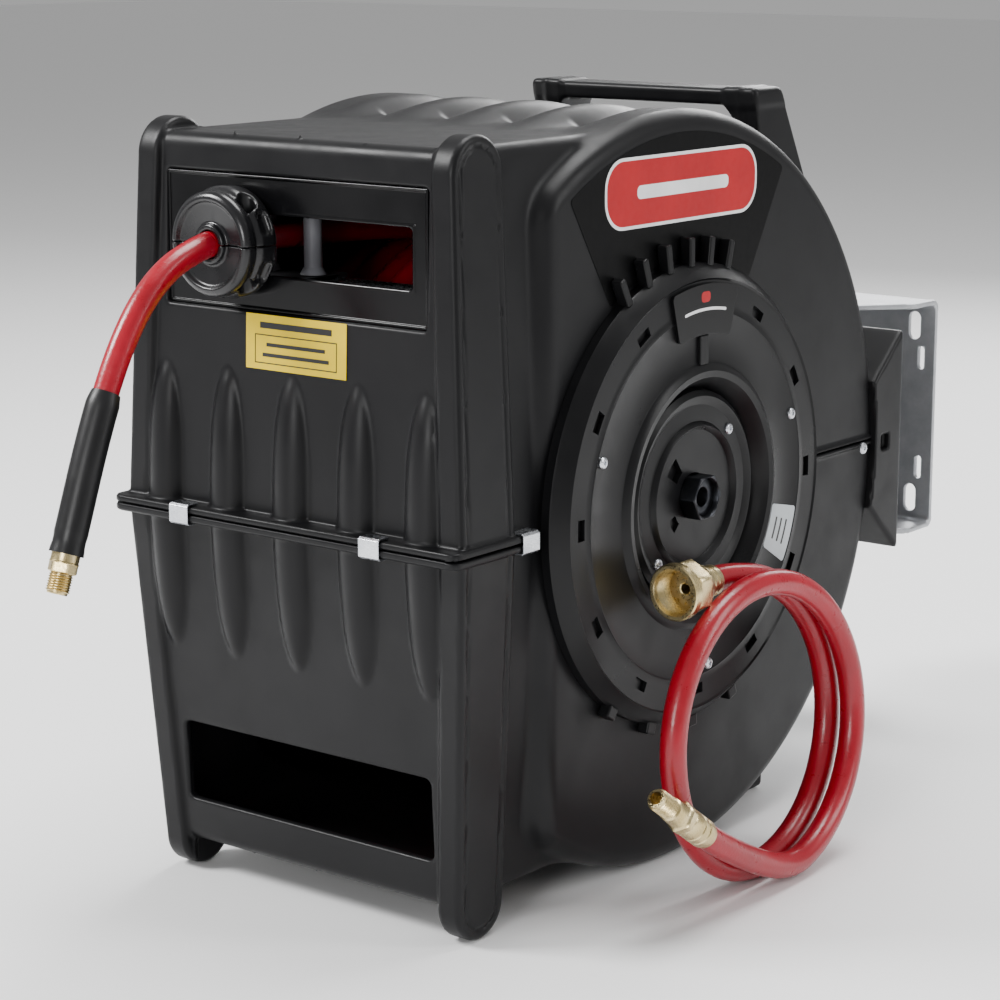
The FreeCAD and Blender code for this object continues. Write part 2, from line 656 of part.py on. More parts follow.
def make_drum():
    """Everything that turns on the axle with the wound hose."""
    node("drum_core", ring("drum_core", "-flange_in", "flange_in", "core_r - 4", "core_r", DRUM_AXIS))
    pack = ring("hose_pack", "-flange_in + gap", "flange_in - gap", "core_r + gap", "pack_r", DRUM_AXIS)
    node("hose_pack", pack)
    flange = turned(
        "drum_flange_right",
        [
            ("flange_in - 20", "bush_r + 0.02"), ("boss_end", "bush_r + 0.02"), ("boss_end", "boss_r"),
            ("flange_in + flange_thick", "boss_r"), ("flange_in + flange_thick", "flange_r"),
            ("flange_in + 0.02", "flange_r"), ("flange_in + 0.02", "boss_r"), ("flange_in - 20", "boss_r"),
        ],
        DRUM_AXIS,
    )
    node("drum_flange_right", flange)
    node("drum_flange_left", mirrored("drum_flange_left", flange))
    spans = {"left": ("-boss_end", "-flange_in + 20"), "right": ("flange_in - 20", "boss_end")}
    bushes = [
        ring(f"drum_bush_{end}", start, stop, "axle_r + running", "bush_r", DRUM_AXIS)
        for end, (start, stop) in spans.items()
    ]
    node("drum_bushes", fused("drum_bushes", bushes))
    node(
        "drum_pulley",
        ring("drum_pulley", "pulley_x", "pulley_x + pulley_wide", "axle_r + running", "pulley_r", DRUM_AXIS),
    )

    teeth = int(size("teeth"))
    root, tip = size("ratchet_root"), size("ratchet_r")
    centre = Vector(size("ratchet_x"), size("axis_y"), size("axis_z"))
    corners = []
    for tooth in range(teeth):
        for radius, part_of_tooth in ((root, 0.0), (tip, 0.1)):
            angle = 2 * math.pi * (tooth + part_of_tooth) / teeth
            corners.append(centre + Vector(0, radius * math.cos(angle), radius * math.sin(angle)))
    wide = size("ratchet_wide")
    wheel = prism(corners, Vector(wide, 0, 0))
    bore = Part.makeCylinder(size("axle_r") + size("running"), 3 * wide, centre - X_AXIS * wide, X_AXIS)
    node("ratchet_wheel", feature("ratchet_wheel", wheel.cut(bore)))


def mainspring():
    """A flat spiral of strip, made of half-turn arcs that each grow by half of the turn spacing."""
    turns, strip = 9, 1.2
    inner, outer = size("arbor_r") + 1, size("spring_r")
    growth = (outer - inner - strip) / (2 * turns)
    centre = Vector(-size("spring_half"), size("axis_y"), size("axis_z"))
    edges = {0.0: [], strip: []}
    for offset, chain in edges.items():
        radius, middle, side = inner + offset, 0.0, 1
        for _ in range(2 * turns):
            start = centre + Vector(0, middle + side * radius, 0)
            top = centre + Vector(0, middle, side * radius)
            end = centre + Vector(0, middle - side * radius, 0)
            chain.append(Part.Arc(start, top, end).toShape())
            middle += side * growth
            radius += growth
            side = -side
    inside, outside = edges[0.0], edges[strip]
    inner_end = Part.LineSegment(inside[0].firstVertex(True).Point, outside[0].firstVertex(True).Point)
    outer_end = Part.LineSegment(inside[-1].lastVertex(True).Point, outside[-1].lastVertex(True).Point)
    wire = Part.Wire(Part.__sortEdges__(inside + outside + [inner_end.toShape(), outer_end.toShape()]))
    return Part.Face(wire).extrude(Vector(2 * size("spring_half"), 0, 0))


def make_axle():
    """Fixed axle with its nut, spring arbor and mainspring."""
    node("axle", ring("axle", "-drum_side - 2", "cover_face + 2", "axle_bore", "axle_r", DRUM_AXIS))
    node(
        "spring_arbor",
        ring("spring_arbor", "-spring_half - 2", "spring_half + 2", "axle_r + 0.02", "arbor_r", DRUM_AXIS),
    )
    node("mainspring", feature("mainspring", mainspring()))
    across = size("nut_corner_r")
    centre = Vector(size("drum_side") + 9, size("axis_y"), size("axis_z"))
    corners = []
    for corner in range(6):
        angle = math.pi * corner / 3
        corners.append(centre + Vector(0, across * math.cos(angle), across * math.sin(angle)))
    length = size("reel_half") - centre.x
    thread = Part.makeCylinder(size("axle_r") + 0.02, length, centre, X_AXIS)
    node("axle_nut", feature("axle_nut", prism(corners, Vector(length, 0, 0)).cut(thread)))
    swivel = turned(
        "inlet_swivel",
        [
            ("-reel_half", 8), ("-reel_half", 14), ("-drum_side - 2 - gap", 14),
            ("-drum_side - 2 - gap", "axle_bore - running"), ("-drum_side + 15", "axle_bore - running"),
            ("-drum_side + 15", 3.5), ("-reel_half + 13", 3.5), ("-reel_half + 13", 8),
        ],
        DRUM_AXIS,
    )
    node("inlet_swivel", swivel)


# --- Levelwind --------------------------------------------------------------------------------------------


def make_levelwind():
    """Screw, guide rods, carriage, rollers, pulleys and belt."""
    screw_at = (0, "screw_y", "screw_z")
    screw = rod(
        "levelwind_screw", ("-rod_half + 2", "screw_y", "screw_z"), "screw_r", "2 * (rod_half - 2)", "X"
    )
    node("levelwind_screw", screw)
    node(
        "screw_pulley",
        ring("screw_pulley", "pulley_x", "pulley_x + pulley_wide", "screw_r + 0.02", "pulley_r", screw_at),
    )
    bushes = [
        ring(f"screw_bush_{end}", start, stop, "screw_r + running", "screw_r + 4", screw_at)
        for end, start, stop in (("left", -112, -105), ("right", 105, 112))
    ]
    node("screw_bushes", fused("screw_bushes", bushes))
    for name, y in (("guide_rod_front", "rod_front_y"), ("guide_rod_back", "rod_back_y")):
        node(name, rod(name, ("-rod_half", y, "rod_z"), "rod_r", "2 * rod_half", "X"))

    lower = block(
        "carriage_lower",
        ("hose_x - carriage_half", "rod_front_y - 10", "carriage_low"),
        ("2 * carriage_half", "rod_back_y - rod_front_y + 18", "carriage_mid - carriage_low"),
    )
    bores = [
        rod(f"carriage_bore_{i}", (-200, y, "rod_z"), "rod_r + running", 400, "X")
        for i, y in enumerate(("rod_front_y", "rod_back_y"))
    ]
    node("carriage", cut("carriage", lower, *bores))
    upper = block(
        "follower_block",
        ("hose_x - carriage_half", "screw_y - 13", "carriage_upper"),
        ("2 * carriage_half", "26", "carriage_high - carriage_upper"),
    )
    screw_way = rod("follower_bore", (-200, "screw_y", "screw_z"), "screw_r + gap", 400, "X")
    node("screw_follower", cut("screw_follower", upper, screw_way))

    pins = []
    for name, side in (("left", -1), ("right", 1)):
        at = (f"hose_x + {side} * roller_x", "roller_y", 0)
        low = (at[0], at[1], "carriage_mid - 5")
        pins.append(rod(f"roller_pin_{name}", low, "roller_pin_r", "carriage_upper - carriage_mid + 10", "Z"))
        roller = turned(
            f"guide_roller_{name}",
            [
                ("carriage_mid + 0.5", "roller_pin_r + running"),
                ("carriage_upper - 0.5", "roller_pin_r + running"),
                ("carriage_upper - 0.5", "roller_r"), ("carriage_mid + 5", "roller_r"),
                ("carriage_mid + 0.5", "roller_r + 2.5"),
            ],
            at, "Z",
        )
        node(f"guide_roller_{name}", roller)
    node("roller_pins", fused("roller_pins", pins))

    radius, thick = size("pulley_r") + size("gap"), size("belt_thick")
    x = size("pulley_x") + 0.5
    ends = [Vector(x, size("axis_y"), size("axis_z")), Vector(x, size("screw_y"), size("screw_z"))]
    along = (ends[1] - ends[0]).normalize()
    across = X_AXIS.cross(along)

    def loop(reach):
        return Part.Face(Part.Wire([
            Part.Arc(ends[0] + across * reach, ends[0] - along * reach, ends[0] - across * reach).toShape(),
            Part.LineSegment(ends[0] - across * reach, ends[1] - across * reach).toShape(),
            Part.Arc(ends[1] - across * reach, ends[1] + along * reach, ends[1] + across * reach).toShape(),
            Part.LineSegment(ends[1] + across * reach, ends[0] + across * reach).toShape(),
        ])).extrude(Vector(size("pulley_wide") - 1, 0, 0))

    node("levelwind_belt", feature("levelwind_belt", loop(radius + thick).cut(loop(radius))))


def make_pawl():
    """Sprung pawl beside the ratchet wheel, and its pin in the case wall."""
    node("pawl_pin", rod("pawl_pin", (-121.5, "pawl_y", "pawl_z"), "pawl_pin_r", 25, "X"))
    x, y, z = size("ratchet_x"), size("pawl_y"), size("pawl_z")
    pin = Vector(x, y, z)
    hub = Part.makeCylinder(size("pawl_hub_r"), size("ratchet_wide"), pin, X_AXIS)
    outline = [pin + Vector(0, *corner) for corner in ((-8, 2), (8, -2), (-15, -34), (-21, -30))]
    arm = prism(outline, Vector(size("ratchet_wide"), 0, 0))
    bore = Part.makeCylinder(size("pawl_pin_r") + size("running"), 30, Vector(x - 10, y, z), X_AXIS)
    node("pawl", feature("pawl", hub.fuse(arm).cut(bore).removeSplitter()))


# --- Hoses ------------------------------------------------------------------------------------------------


def rounded_path(points, name):
    """Straight runs joined by tangent arcs, each arc as large as its two runs allow. Prints the radii."""
    edges, radii, last = [], [], points[0]
    for before, corner, after in zip(points, points[1:], points[2:]):
        into, out = (corner - before), (after - corner)
        turn = into.getAngle(out)
        trim = 0.45 * min(into.Length, out.Length)
        radii.append(trim / math.tan(turn / 2))
        first = corner - into.normalize() * trim
        final = corner + out.normalize() * trim
        bisector = (first + final) * 0.5 - corner
        centre_gap = radii[-1] / math.cos(turn / 2)
        inward = bisector.normalize()
        middle = corner + inward * (centre_gap - radii[-1])
        edges.append(Part.LineSegment(last, first).toShape())
        edges.append(Part.Arc(first, middle, final).toShape())
        last = final
    edges.append(Part.LineSegment(last, points[-1]).toShape())
    print(name, "bend radii", [round(radius) for radius in radii])
    return edges


def tube(edges, outer, inner=0.0):
    """A round tube along a path, with its volume compared with its section times its length."""
    path = Part.Wire(edges)
    start = edges[0].valueAt(edges[0].FirstParameter)
    direction = edges[0].tangentAt(edges[0].FirstParameter)
    solids = []
    for radius in filter(None, (outer, inner)):
        section = Part.Wire(Part.makeCircle(radius, start, direction))
        solids.append(path.makePipeShell([section], True, False))
    solid = solids[0] if not inner else solids[0].cut(solids[1])
    expected = math.pi * (outer ** 2 - inner ** 2) * path.Length
    assert abs(solid.Volume / expected - 1) < 0.01, (solid.Volume, expected)
    return solid


def turned_along(start, direction, stages):
    """Round stages, (length, radius), one after another along a direction."""
    solid, at = None, start
    for length, radius in stages:
        stage = Part.makeCylinder(radius, length, at, direction)
        solid = stage if solid is None else solid.fuse(stage)
        at = at + direction * length
    return solid


OUTLET_ROUTE = [
    (-300, 397), (-319.4, 392.2), (-337.2, 383.1), (-352.5, 370.2), (-367.3, 351.3),
    (-381.8, 325.1), (-395.9, 292.0), (-409.6, 254.4), (-416.0, 237.5),
]
SLEEVE_FROM = 5

# Length and radius of each stage, in the order that the water leaves: ferrule, hexagon, thread.
OUTLET_STAGES = [(5, 8.5), (6, 7.5), (12, 6.7)]
# The same from the hose outwards: ferrule, ring, hexagon, thread.
MALE_STAGES = [(24, 8.8), (5, 9.5), (12, 7.6), (16, 6.7)]
MALE_IN, MALE_OUT = Vector(203, -148, 55), Vector(200.5, -194, 88.5)


def make_outlet_hose():
    """The hose's free end, the stop that holds it at the slot, its bend restrictor and its fitting."""
    hose_x, hose_z, hose_r = size("hose_x"), size("hose_z"), size("hose_r")
    stop_at = ("hose_x", "stop_back", "hose_z")
    profile = [
        (0, "hose_r + running"), ("stop_back - stop_front", "hose_r + running"),
        ("stop_back - stop_front", "stop_r - 8"), ("stop_back - stop_front - 8", "stop_r"),
        (2, "stop_r"), (0, "stop_r - 2"),
    ]
    for name, low in (("hose_stop_upper", "hose_z"), ("hose_stop_lower", "hose_z - 60")):
        ball = turned(name + "_ball", profile, stop_at, "-Y")
        half = block(name + "_half", ("hose_x - 50", -340, low), (100, 100, 60))
        node(name, common(name, ball, half))
    screws = []
    for side in (-1, 1):
        base = Vector(hose_x, size("stop_front"), hose_z)
        base += Vector(side * size("stop_screw_x"), size("stop_screw_y"), size("stop_screw_z"))
        head = Part.makeCylinder(size("stop_head_r"), 2, base, Z_AXIS)
        screws.append(head.fuse(Part.makeCylinder(size("stop_shank_r"), size("stop_shank"), base, -Z_AXIS)))
    node("stop_screws", feature("stop_screws", Part.makeCompound(screws)))

    drum_y, drum_z = size("axis_y"), size("axis_z")
    lay_r = hose_z - drum_z
    wrap = math.radians(25)
    start = Vector(hose_x, size("stop_front"), hose_z)
    top = Vector(hose_x, drum_y, hose_z)

    def on_pack(angle):
        return Vector(hose_x, drum_y + lay_r * math.sin(angle), drum_z + lay_r * math.cos(angle))

    inner = [
        Part.LineSegment(start, top).toShape(),
        Part.Arc(top, on_pack(wrap / 2), on_pack(wrap)).toShape(),
    ]
    node("inner_hose", feature("inner_hose", tube(inner, hose_r)))

    route = [Vector(hose_x, y, z) for y, z in OUTLET_ROUTE]
    edges = rounded_path(route, "outlet hose")
    node("outlet_hose", feature("outlet_hose", tube(edges, hose_r)))
    sleeve = tube(edges[2 * SLEEVE_FROM:], size("sleeve_r"), hose_r + 0.02)
    node("bend_restrictor", feature("bend_restrictor", sleeve))
    along = (route[-1] - route[-2]).normalize()
    fitting = turned_along(route[-1], along, OUTLET_STAGES)
    node("outlet_fitting", feature("outlet_fitting", fitting))


def make_lead_hose():
    """The loose lead-in hose beside the reel: its coil, both ends and their fittings."""
    lead_r = size("lead_r")
    centre = Vector(size("coil_inside"), size("coil_y"), size("coil_z"))
    upright = Vector(-size("coil_lean"), 0, 1)

    def loop(extra):
        """A leaning oval slab as wide as the turns."""
        sides = 48
        points = []
        for i in range(sides):
            angle = 2 * math.pi * i / sides
            across = Y_AXIS * ((size("coil_ry") + extra) * math.sin(angle))
            points.append(centre + across + upright * ((size("coil_rz") + extra) * math.cos(angle)))
        curve = Part.BSplineCurve()
        curve.interpolate(points, PeriodicFlag=True)
        return Part.Face(Part.Wire(curve.toShape()))

    width = Vector(size("coil_outside") - size("coil_inside"), 0, 0)
    slab = loop(lead_r).extrude(width).cut(loop(-lead_r).extrude(width))
    coupling_room = Part.makeBox(61, 90, 80, Vector(120, -160, 160))
    fitting_room = Part.makeBox(40, 40, 140, Vector(192, -172, 20))
    node("lead_hose_coil", feature("lead_hose_coil", slab.cut([coupling_room, fitting_room])))

    inlet = Vector(size("lead_x"), -81.5, size("lead_z"))
    coil_start = Vector(size("lead_x"), -70, size("lead_z"))
    entry = tube([Part.LineSegment(inlet, coil_start).toShape()], lead_r)
    node("lead_hose_inlet", feature("lead_hose_inlet", entry))
    along = (MALE_OUT - MALE_IN).normalize()
    near = MALE_IN - along * 19
    stub = tube([Part.LineSegment(near, MALE_IN).toShape()], lead_r)
    node("lead_hose_outlet", feature("lead_hose_outlet", stub))
    male = turned_along(MALE_IN, along, MALE_STAGES)
    node("lead_male_fitting", feature("lead_male_fitting", male))

    nut_at = ("lead_x", "coupling_y", "lead_z")
    nut = turned(
        "coupling_nut",
        [
            (0, 13.2), (0, 17.5), (20, 17.5), (24, 15), (27, 15), (27, "lead_r + 0.55"),
            (22, "lead_r + 0.55"), (22, 11.5), (14, 11.5), (14, 13.2),
        ],
        nut_at, "Y",
    )
    node("coupling_nut", nut)
    tail = turned(
        "coupling_tail",
        [
            (15, 4.5), (15, 11.2), (21.5, 11.2), (21.5, "lead_r + 0.5"), (27.5, "lead_r + 0.5"),
            (27.5, 9.6), (41.4, 9.6), (41.4, 4.5),
        ],
        nut_at, "Y",
    )
    node("coupling_tail", tail)


# --- Build, check and write -------------------------------------------------------------------------------


def check_and_write():
    """Stops at any failed object or bad shape, then writes one file per sub-part."""
    doc.recompute()
    failed = [thing.Name for thing in doc.Objects if {"Invalid", "Error"} & set(thing.State)]
    assert not failed, f"failed objects: {failed}"
    bad = [name for name, thing in NODES.items() if thing.Shape.isNull() or not thing.Shape.isValid()]
    assert not bad, f"bad shapes: {bad}"
    os.makedirs(PARTS_FOLDER, exist_ok=True)
    for name, thing in NODES.items():
        thing.Shape.exportStep(os.path.join(PARTS_FOLDER, name + ".step"))
    print(len(NODES), "sub-parts written")


make_case()
make_front()
make_clips()
make_covers()
make_screws()
make_handle()
make_pivot_block()
make_bracket()
make_drum()
make_axle()
make_levelwind()
make_pawl()
make_outlet_hose()
make_lead_hose()
check_and_write()
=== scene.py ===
"""Looks of a retractable levelwind hose reel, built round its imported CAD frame.

Shapes are worked out in millimetres in the row frame and scaled to metres as they become meshes.
"""

import json
import math

import bmesh
import bpy
import numpy as np
from mathutils import Matrix, Vector


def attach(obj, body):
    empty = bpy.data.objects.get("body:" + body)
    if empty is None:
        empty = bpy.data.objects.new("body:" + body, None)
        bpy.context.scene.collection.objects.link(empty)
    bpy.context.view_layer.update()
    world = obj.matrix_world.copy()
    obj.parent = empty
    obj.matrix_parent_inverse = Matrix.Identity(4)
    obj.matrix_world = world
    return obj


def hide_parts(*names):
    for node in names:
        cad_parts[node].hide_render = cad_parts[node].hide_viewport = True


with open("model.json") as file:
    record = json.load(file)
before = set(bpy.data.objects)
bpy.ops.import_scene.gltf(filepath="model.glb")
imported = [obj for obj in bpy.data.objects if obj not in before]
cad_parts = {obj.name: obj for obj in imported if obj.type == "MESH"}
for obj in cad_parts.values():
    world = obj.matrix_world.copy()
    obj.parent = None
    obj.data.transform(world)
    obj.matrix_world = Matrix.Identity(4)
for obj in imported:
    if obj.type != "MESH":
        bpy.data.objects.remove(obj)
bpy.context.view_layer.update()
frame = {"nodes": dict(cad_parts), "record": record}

MM = 0.001
AXIS_Y, AXIS_Z = -62.0, 234.0  # the drum turns about a line along x
PARTING_Z = AXIS_Z
HOSE_X, HOSE_Z, HOSE_R = -41.0, 397.0, 7.5
LEAD_R = 8.0
PIVOT_Y, PIN_R = 183.0, 8.0
BRACKET_Z = 229.0
RIGHT, LEFT = 1, -1
WORDS = {RIGHT: "right", LEFT: "left"}


def placed(name, data):
    """A new object in the scene."""
    obj = bpy.data.objects.new(name, data)
    bpy.context.scene.collection.objects.link(obj)
    return obj


def evaluated_mesh(obj):
    """A mesh of the object as its modifiers leave it."""
    return bpy.data.meshes.new_from_object(obj.evaluated_get(bpy.context.evaluated_depsgraph_get()))


# --- Camera, floor and light ---

CAMERA_AT = (1.05541, -1.43069, 0.58434)
CAMERA_RIGHT = Vector((0.7876, 0.6162, 0.0))
CAMERA_UP = Vector((-0.1293, 0.1652, 0.9777))
CAMERA_LENS = 99.28


def make_camera():
    data = bpy.data.cameras.new("camera")
    data.lens = CAMERA_LENS
    data.sensor_width = 36.0
    data.clip_start = 0.05
    data.clip_end = 50.0
    camera = placed("camera", data)
    right = CAMERA_RIGHT.normalized()
    up = (CAMERA_UP - right * CAMERA_UP.dot(right)).normalized()
    back = right.cross(up)
    turn = Matrix((right, up, back)).transposed().to_4x4()
    camera.matrix_world = Matrix.Translation(CAMERA_AT) @ turn
    bpy.context.scene.camera = camera


def make_light(name, position, target, size, power, colour=(1, 1, 1)):
    data = bpy.data.lights.new(name, "AREA")
    data.shape = "RECTANGLE"
    data.size, data.size_y = size
    data.energy = power
    data.color = colour
    lamp = placed(name, data)
    lamp.location = position
    lamp.rotation_euler = (Vector(target) - Vector(position)).to_track_quat("-Z", "Y").to_euler()


def make_stage():
    """A pale floor, a white surround and five soft boxes."""
    mesh = bpy.data.meshes.new("floor")
    reach = 12.0
    corners = [(-reach, -reach, 0), (reach, -reach, 0), (reach, reach, 0), (-reach, reach, 0)]
    mesh.from_pydata(corners, [], [(0, 1, 2, 3)])
    floor = placed("floor", mesh)
    floor.location.z = -0.0005
    material = bpy.data.materials.new("floor")
    material.use_nodes = True
    shader = material.node_tree.nodes["Principled BSDF"]
    shader.inputs["Base Color"].default_value = (0.9, 0.9, 0.9, 1)
    shader.inputs["Roughness"].default_value = 0.7
    mesh.materials.append(material)

    world = bpy.data.worlds.new("surround")
    world.use_nodes = True
    background = world.node_tree.nodes["Background"]
    background.inputs["Color"].default_value = (1.0, 1.0, 1.0, 1)
    background.inputs["Strength"].default_value = 0.42
    bpy.context.scene.world = world
    middle = (0, 0, 0.25)
    make_light("key", (-1.5, -1.5, 1.9), middle, (0.8, 0.8), 95)
    make_light("side", (2.2, 0.9, 1.3), middle, (0.6, 1.6), 26)
    make_light("top", (0.0, 0.5, 2.4), middle, (1.4, 1.0), 62)
    make_light("front", (0.7, -2.6, 0.9), middle, (0.7, 0.7), 26)
    make_light("rim", (-0.6, 2.1, 1.3), middle, (1.2, 0.8), 30)


# --- Materials ---

MATERIALS = {}


class Nodes:
    """Small helper that adds and links shader nodes."""

    def __init__(self, name):
        self.material = bpy.data.materials.new(name)
        self.material.use_nodes = True
        self.tree = self.material.node_tree
        self.shader = self.tree.nodes["Principled BSDF"]
        self.place = self.add("ShaderNodeTexCoord").outputs["Object"]

    def add(self, kind, inputs=None, **settings):
        node = self.tree.nodes.new(kind)
        for key, value in settings.items():
            setattr(node, key, value)
        for key, value in (inputs or {}).items():
            node.inputs[key].default_value = value
        return node

    def link(self, output, target):
        self.tree.links.new(output, target)

    def noise(self, scale, detail=4.0, roughness=0.5, stretch=None):
        node = self.add("ShaderNodeTexNoise", {"Scale": scale, "Detail": detail, "Roughness": roughness})
        place = self.place
        if stretch:
            mapping = self.add("ShaderNodeMapping", {"Scale": stretch})
            self.link(place, mapping.inputs["Vector"])
            place = mapping.outputs["Vector"]
        self.link(place, node.inputs["Vector"])
        return node.outputs["Fac"]

    def ramp(self, value, stops):
        """Maps a value to a grey or a colour through the given (position, colour) stops."""
        node = self.add("ShaderNodeValToRGB")
        while len(node.color_ramp.elements) < len(stops):
            node.color_ramp.elements.new(0.5)
        for element, (position, colour) in zip(node.color_ramp.elements, stops):
            element.position = position
            element.color = (colour, colour, colour, 1) if isinstance(colour, (int, float)) else (*colour, 1)
        self.link(value, node.inputs["Fac"])
        return node.outputs["Color"]

    def drive(self, socket, value, stops):
        """Sends a value through a ramp to one of the shader's inputs."""
        self.link(self.ramp(value, stops), self.shader.inputs[socket])

    def mix(self, share, first, second):
        """Mixes two colour outputs by a share."""
        node = self.add("ShaderNodeMix", data_type="RGBA")
        self.link(share, node.inputs[0])
        self.link(first, node.inputs[6])
        self.link(second, node.inputs[7])
        return node.outputs[2]

    def bump(self, height, strength, distance):
        node = self.add("ShaderNodeBump", {"Strength": strength, "Distance": distance})
        self.link(height, node.inputs["Height"])
        self.link(node.outputs["Normal"], self.shader.inputs["Normal"])

    def finish(self, key, **values):
        for socket, value in values.items():
            self.shader.inputs[socket.replace("_", " ")].default_value = value
        MATERIALS[key] = self.material


def plastic(key, dark, pale, rough, grain, coat=0.0, shine=0.36):
    """Moulded plastic: faint flow marks in its colour, fine grain, and rubbed patches that shine."""
    nodes = Nodes(key)
    nodes.drive("Base Color", nodes.noise(9, 5, 0.55, (1, 1, 0.35)), [(0.3, dark), (0.72, pale)])
    nodes.drive("Roughness", nodes.noise(38, 6, 0.62), [(0.32, rough[0]), (0.68, rough[1])])
    nodes.bump(nodes.noise(1500, 3, 0.6), grain, 0.0004)
    nodes.finish(key, Coat_Weight=coat, Coat_Roughness=0.25, IOR=1.49, Specular_IOR_Level=shine)


def metal(key, dark, pale, rough, stretch, metallic=1.0, grain=0.12):
    """Bare or plated metal with tarnish in its colour and fine marks along the way it was worked."""
    nodes = Nodes(key)
    nodes.drive("Base Color", nodes.noise(60, 5, 0.6), [(0.35, dark), (0.65, pale)])
    marks = nodes.noise(420, 4, 0.6, stretch)
    nodes.drive("Roughness", marks, [(0.35, rough[0]), (0.7, rough[1])])
    nodes.bump(marks, grain, 0.0003)
    nodes.finish(key, Metallic=metallic)


def hose_rubber():
    """Red hose: a smooth glossy skin over a braid that shows faintly, with small pale scuffs."""
    nodes = Nodes("red_hose")
    tone = nodes.noise(30, 4, 0.5)
    base = nodes.ramp(tone, [(0.3, (0.27, 0.0012, 0.010)), (0.7, (0.34, 0.0022, 0.015))])
    scuff = nodes.ramp(nodes.noise(300, 5, 0.65), [(0.64, 0.0), (0.80, 0.10)])
    pale = nodes.ramp(tone, [(0.0, (0.45, 0.015, 0.022)), (1.0, (0.52, 0.025, 0.032))])
    nodes.link(nodes.mix(scuff, base, pale), nodes.shader.inputs["Base Color"])
    nodes.drive("Roughness", nodes.noise(120, 4), [(0.3, 0.26), (0.7, 0.36)])
    braid = nodes.add("ShaderNodeTexVoronoi", {"Scale": 560}, feature="F1")
    nodes.link(nodes.place, braid.inputs["Vector"])
    nodes.bump(braid.outputs["Distance"], 0.16, 0.0005)
    nodes.finish("red_hose", Coat_Weight=0.2, Coat_Roughness=0.2, Specular_IOR_Level=0.45)


def printed(key, ground, rough=0.28, shine=0.3, coat=0.1):
    """Printed vinyl with a slight orange-peel surface."""
    nodes = Nodes(key)
    darker = tuple(c * 0.86 for c in ground)
    nodes.drive("Base Color", nodes.noise(45, 3), [(0.3, darker), (0.7, ground)])
    nodes.drive("Roughness", nodes.noise(200, 3), [(0.3, rough), (0.7, rough + 0.14)])
    nodes.bump(nodes.noise(700, 2), 0.06, 0.0003)
    nodes.finish(key, Coat_Weight=coat, Coat_Roughness=0.2, Specular_IOR_Level=shine)


def make_materials():
    plastic("case_plastic", (0.0042, 0.0042, 0.0048), (0.0078, 0.0078, 0.0086), (0.33, 0.46), 0.14, 0.0, 0.21)
    plastic("cover_plastic", (0.0035, 0.0035, 0.0040), (0.0062, 0.0062, 0.0068), (0.27, 0.40), 0.12, 0.0, 0.22)
    plastic("bezel_plastic", (0.002, 0.002, 0.0024), (0.0035, 0.0035, 0.004), (0.14, 0.26), 0.05, 0.04, 0.24)
    plastic("stop_plastic", (0.006, 0.006, 0.007), (0.010, 0.010, 0.011), (0.20, 0.34), 0.08, 0.2)
    plastic("drum_plastic", (0.014, 0.014, 0.016), (0.026, 0.026, 0.028), (0.40, 0.55), 0.15)
    plastic("roller_plastic", (0.16, 0.16, 0.18), (0.24, 0.24, 0.26), (0.3, 0.42), 0.08)
    plastic("restrictor_rubber", (0.004, 0.004, 0.0045), (0.008, 0.008, 0.0085), (0.3, 0.45), 0.15)
    plastic("belt_rubber", (0.010, 0.010, 0.010), (0.020, 0.020, 0.020), (0.6, 0.75), 0.3)
    metal("zinc_steel", (0.52, 0.54, 0.58), (0.72, 0.74, 0.77), (0.2, 0.38), (1, 1, 6))
    metal("bracket_steel", (0.40, 0.41, 0.43), (0.50, 0.51, 0.53), (0.34, 0.5), (1, 1, 1), 0.55, 0.2)
    metal("spring_steel", (0.030, 0.032, 0.038), (0.060, 0.063, 0.070), (0.32, 0.46), (1, 1, 8))
    metal("bush_bronze", (0.32, 0.2, 0.09), (0.46, 0.3, 0.14), (0.35, 0.5), (1, 1, 4))
    metal("brass", (0.58, 0.45, 0.21), (0.76, 0.64, 0.37), (0.24, 0.38), (1, 5, 1), 1.0, 0.03)
    hose_rubber()
    printed("yellow_label", (0.70, 0.50, 0.002), 0.4)
    printed("decal", (0.0010, 0.0010, 0.0012), 0.34, 0.10, 0.0)
    printed("red_print", (0.42, 0.0015, 0.006), 0.4)
    printed("white_print", (0.85, 0.85, 0.85))
    printed("grey_label", (0.50, 0.54, 0.56))
    printed("black_print", (0.02, 0.02, 0.02))


# --- Mesh helpers ---


def finish_piece(obj, body, material, replaces=()):
    """Names the piece's body, its material, and the CAD nodes that it stands for."""
    obj.data.materials.append(MATERIALS[material])
    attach(obj, body)
    if replaces:
        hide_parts(*replaces)
    return obj


def mesh_object(name, points, faces, smooth=True, normals=None):
    """A mesh piece from points in millimetres."""
    mesh = bpy.data.meshes.new(name)
    mesh.from_pydata((np.asarray(points, float) * MM).tolist(), [], [list(map(int, face)) for face in faces])
    mesh.validate()
    obj = placed(name, mesh)
    if smooth:
        mesh.shade_smooth()
    if normals is not None:
        mesh.normals_split_custom_set_from_vertices(normals.tolist())
    return obj


def sharpen(obj, degrees=32):
    """Keeps edges sharper than this angle crisp, and shades the rest smooth."""
    obj.data.shade_smooth()
    obj.data.set_sharp_from_angle(angle=math.radians(degrees))
    return obj


def bevel(obj, width, segments=2, degrees=32):
    """A real rounded edge, in millimetres."""
    rounding = obj.modifiers.new("rounding", "BEVEL")
    rounding.width = width * MM
    rounding.segments = segments
    rounding.limit_method = "ANGLE"
    rounding.angle_limit = math.radians(degrees)
    rounding.harden_normals = True
    obj.data.shade_smooth()
    return obj


# --- Implicit shapes: distances in millimetres, negative inside ---


def soft_min(a, b, k):
    """Union with a cove of about k millimetres."""
    h = np.clip(0.5 + 0.5 * (b - a) / k, 0, 1)
    return b + (a - b) * h - k * h * (1 - h)


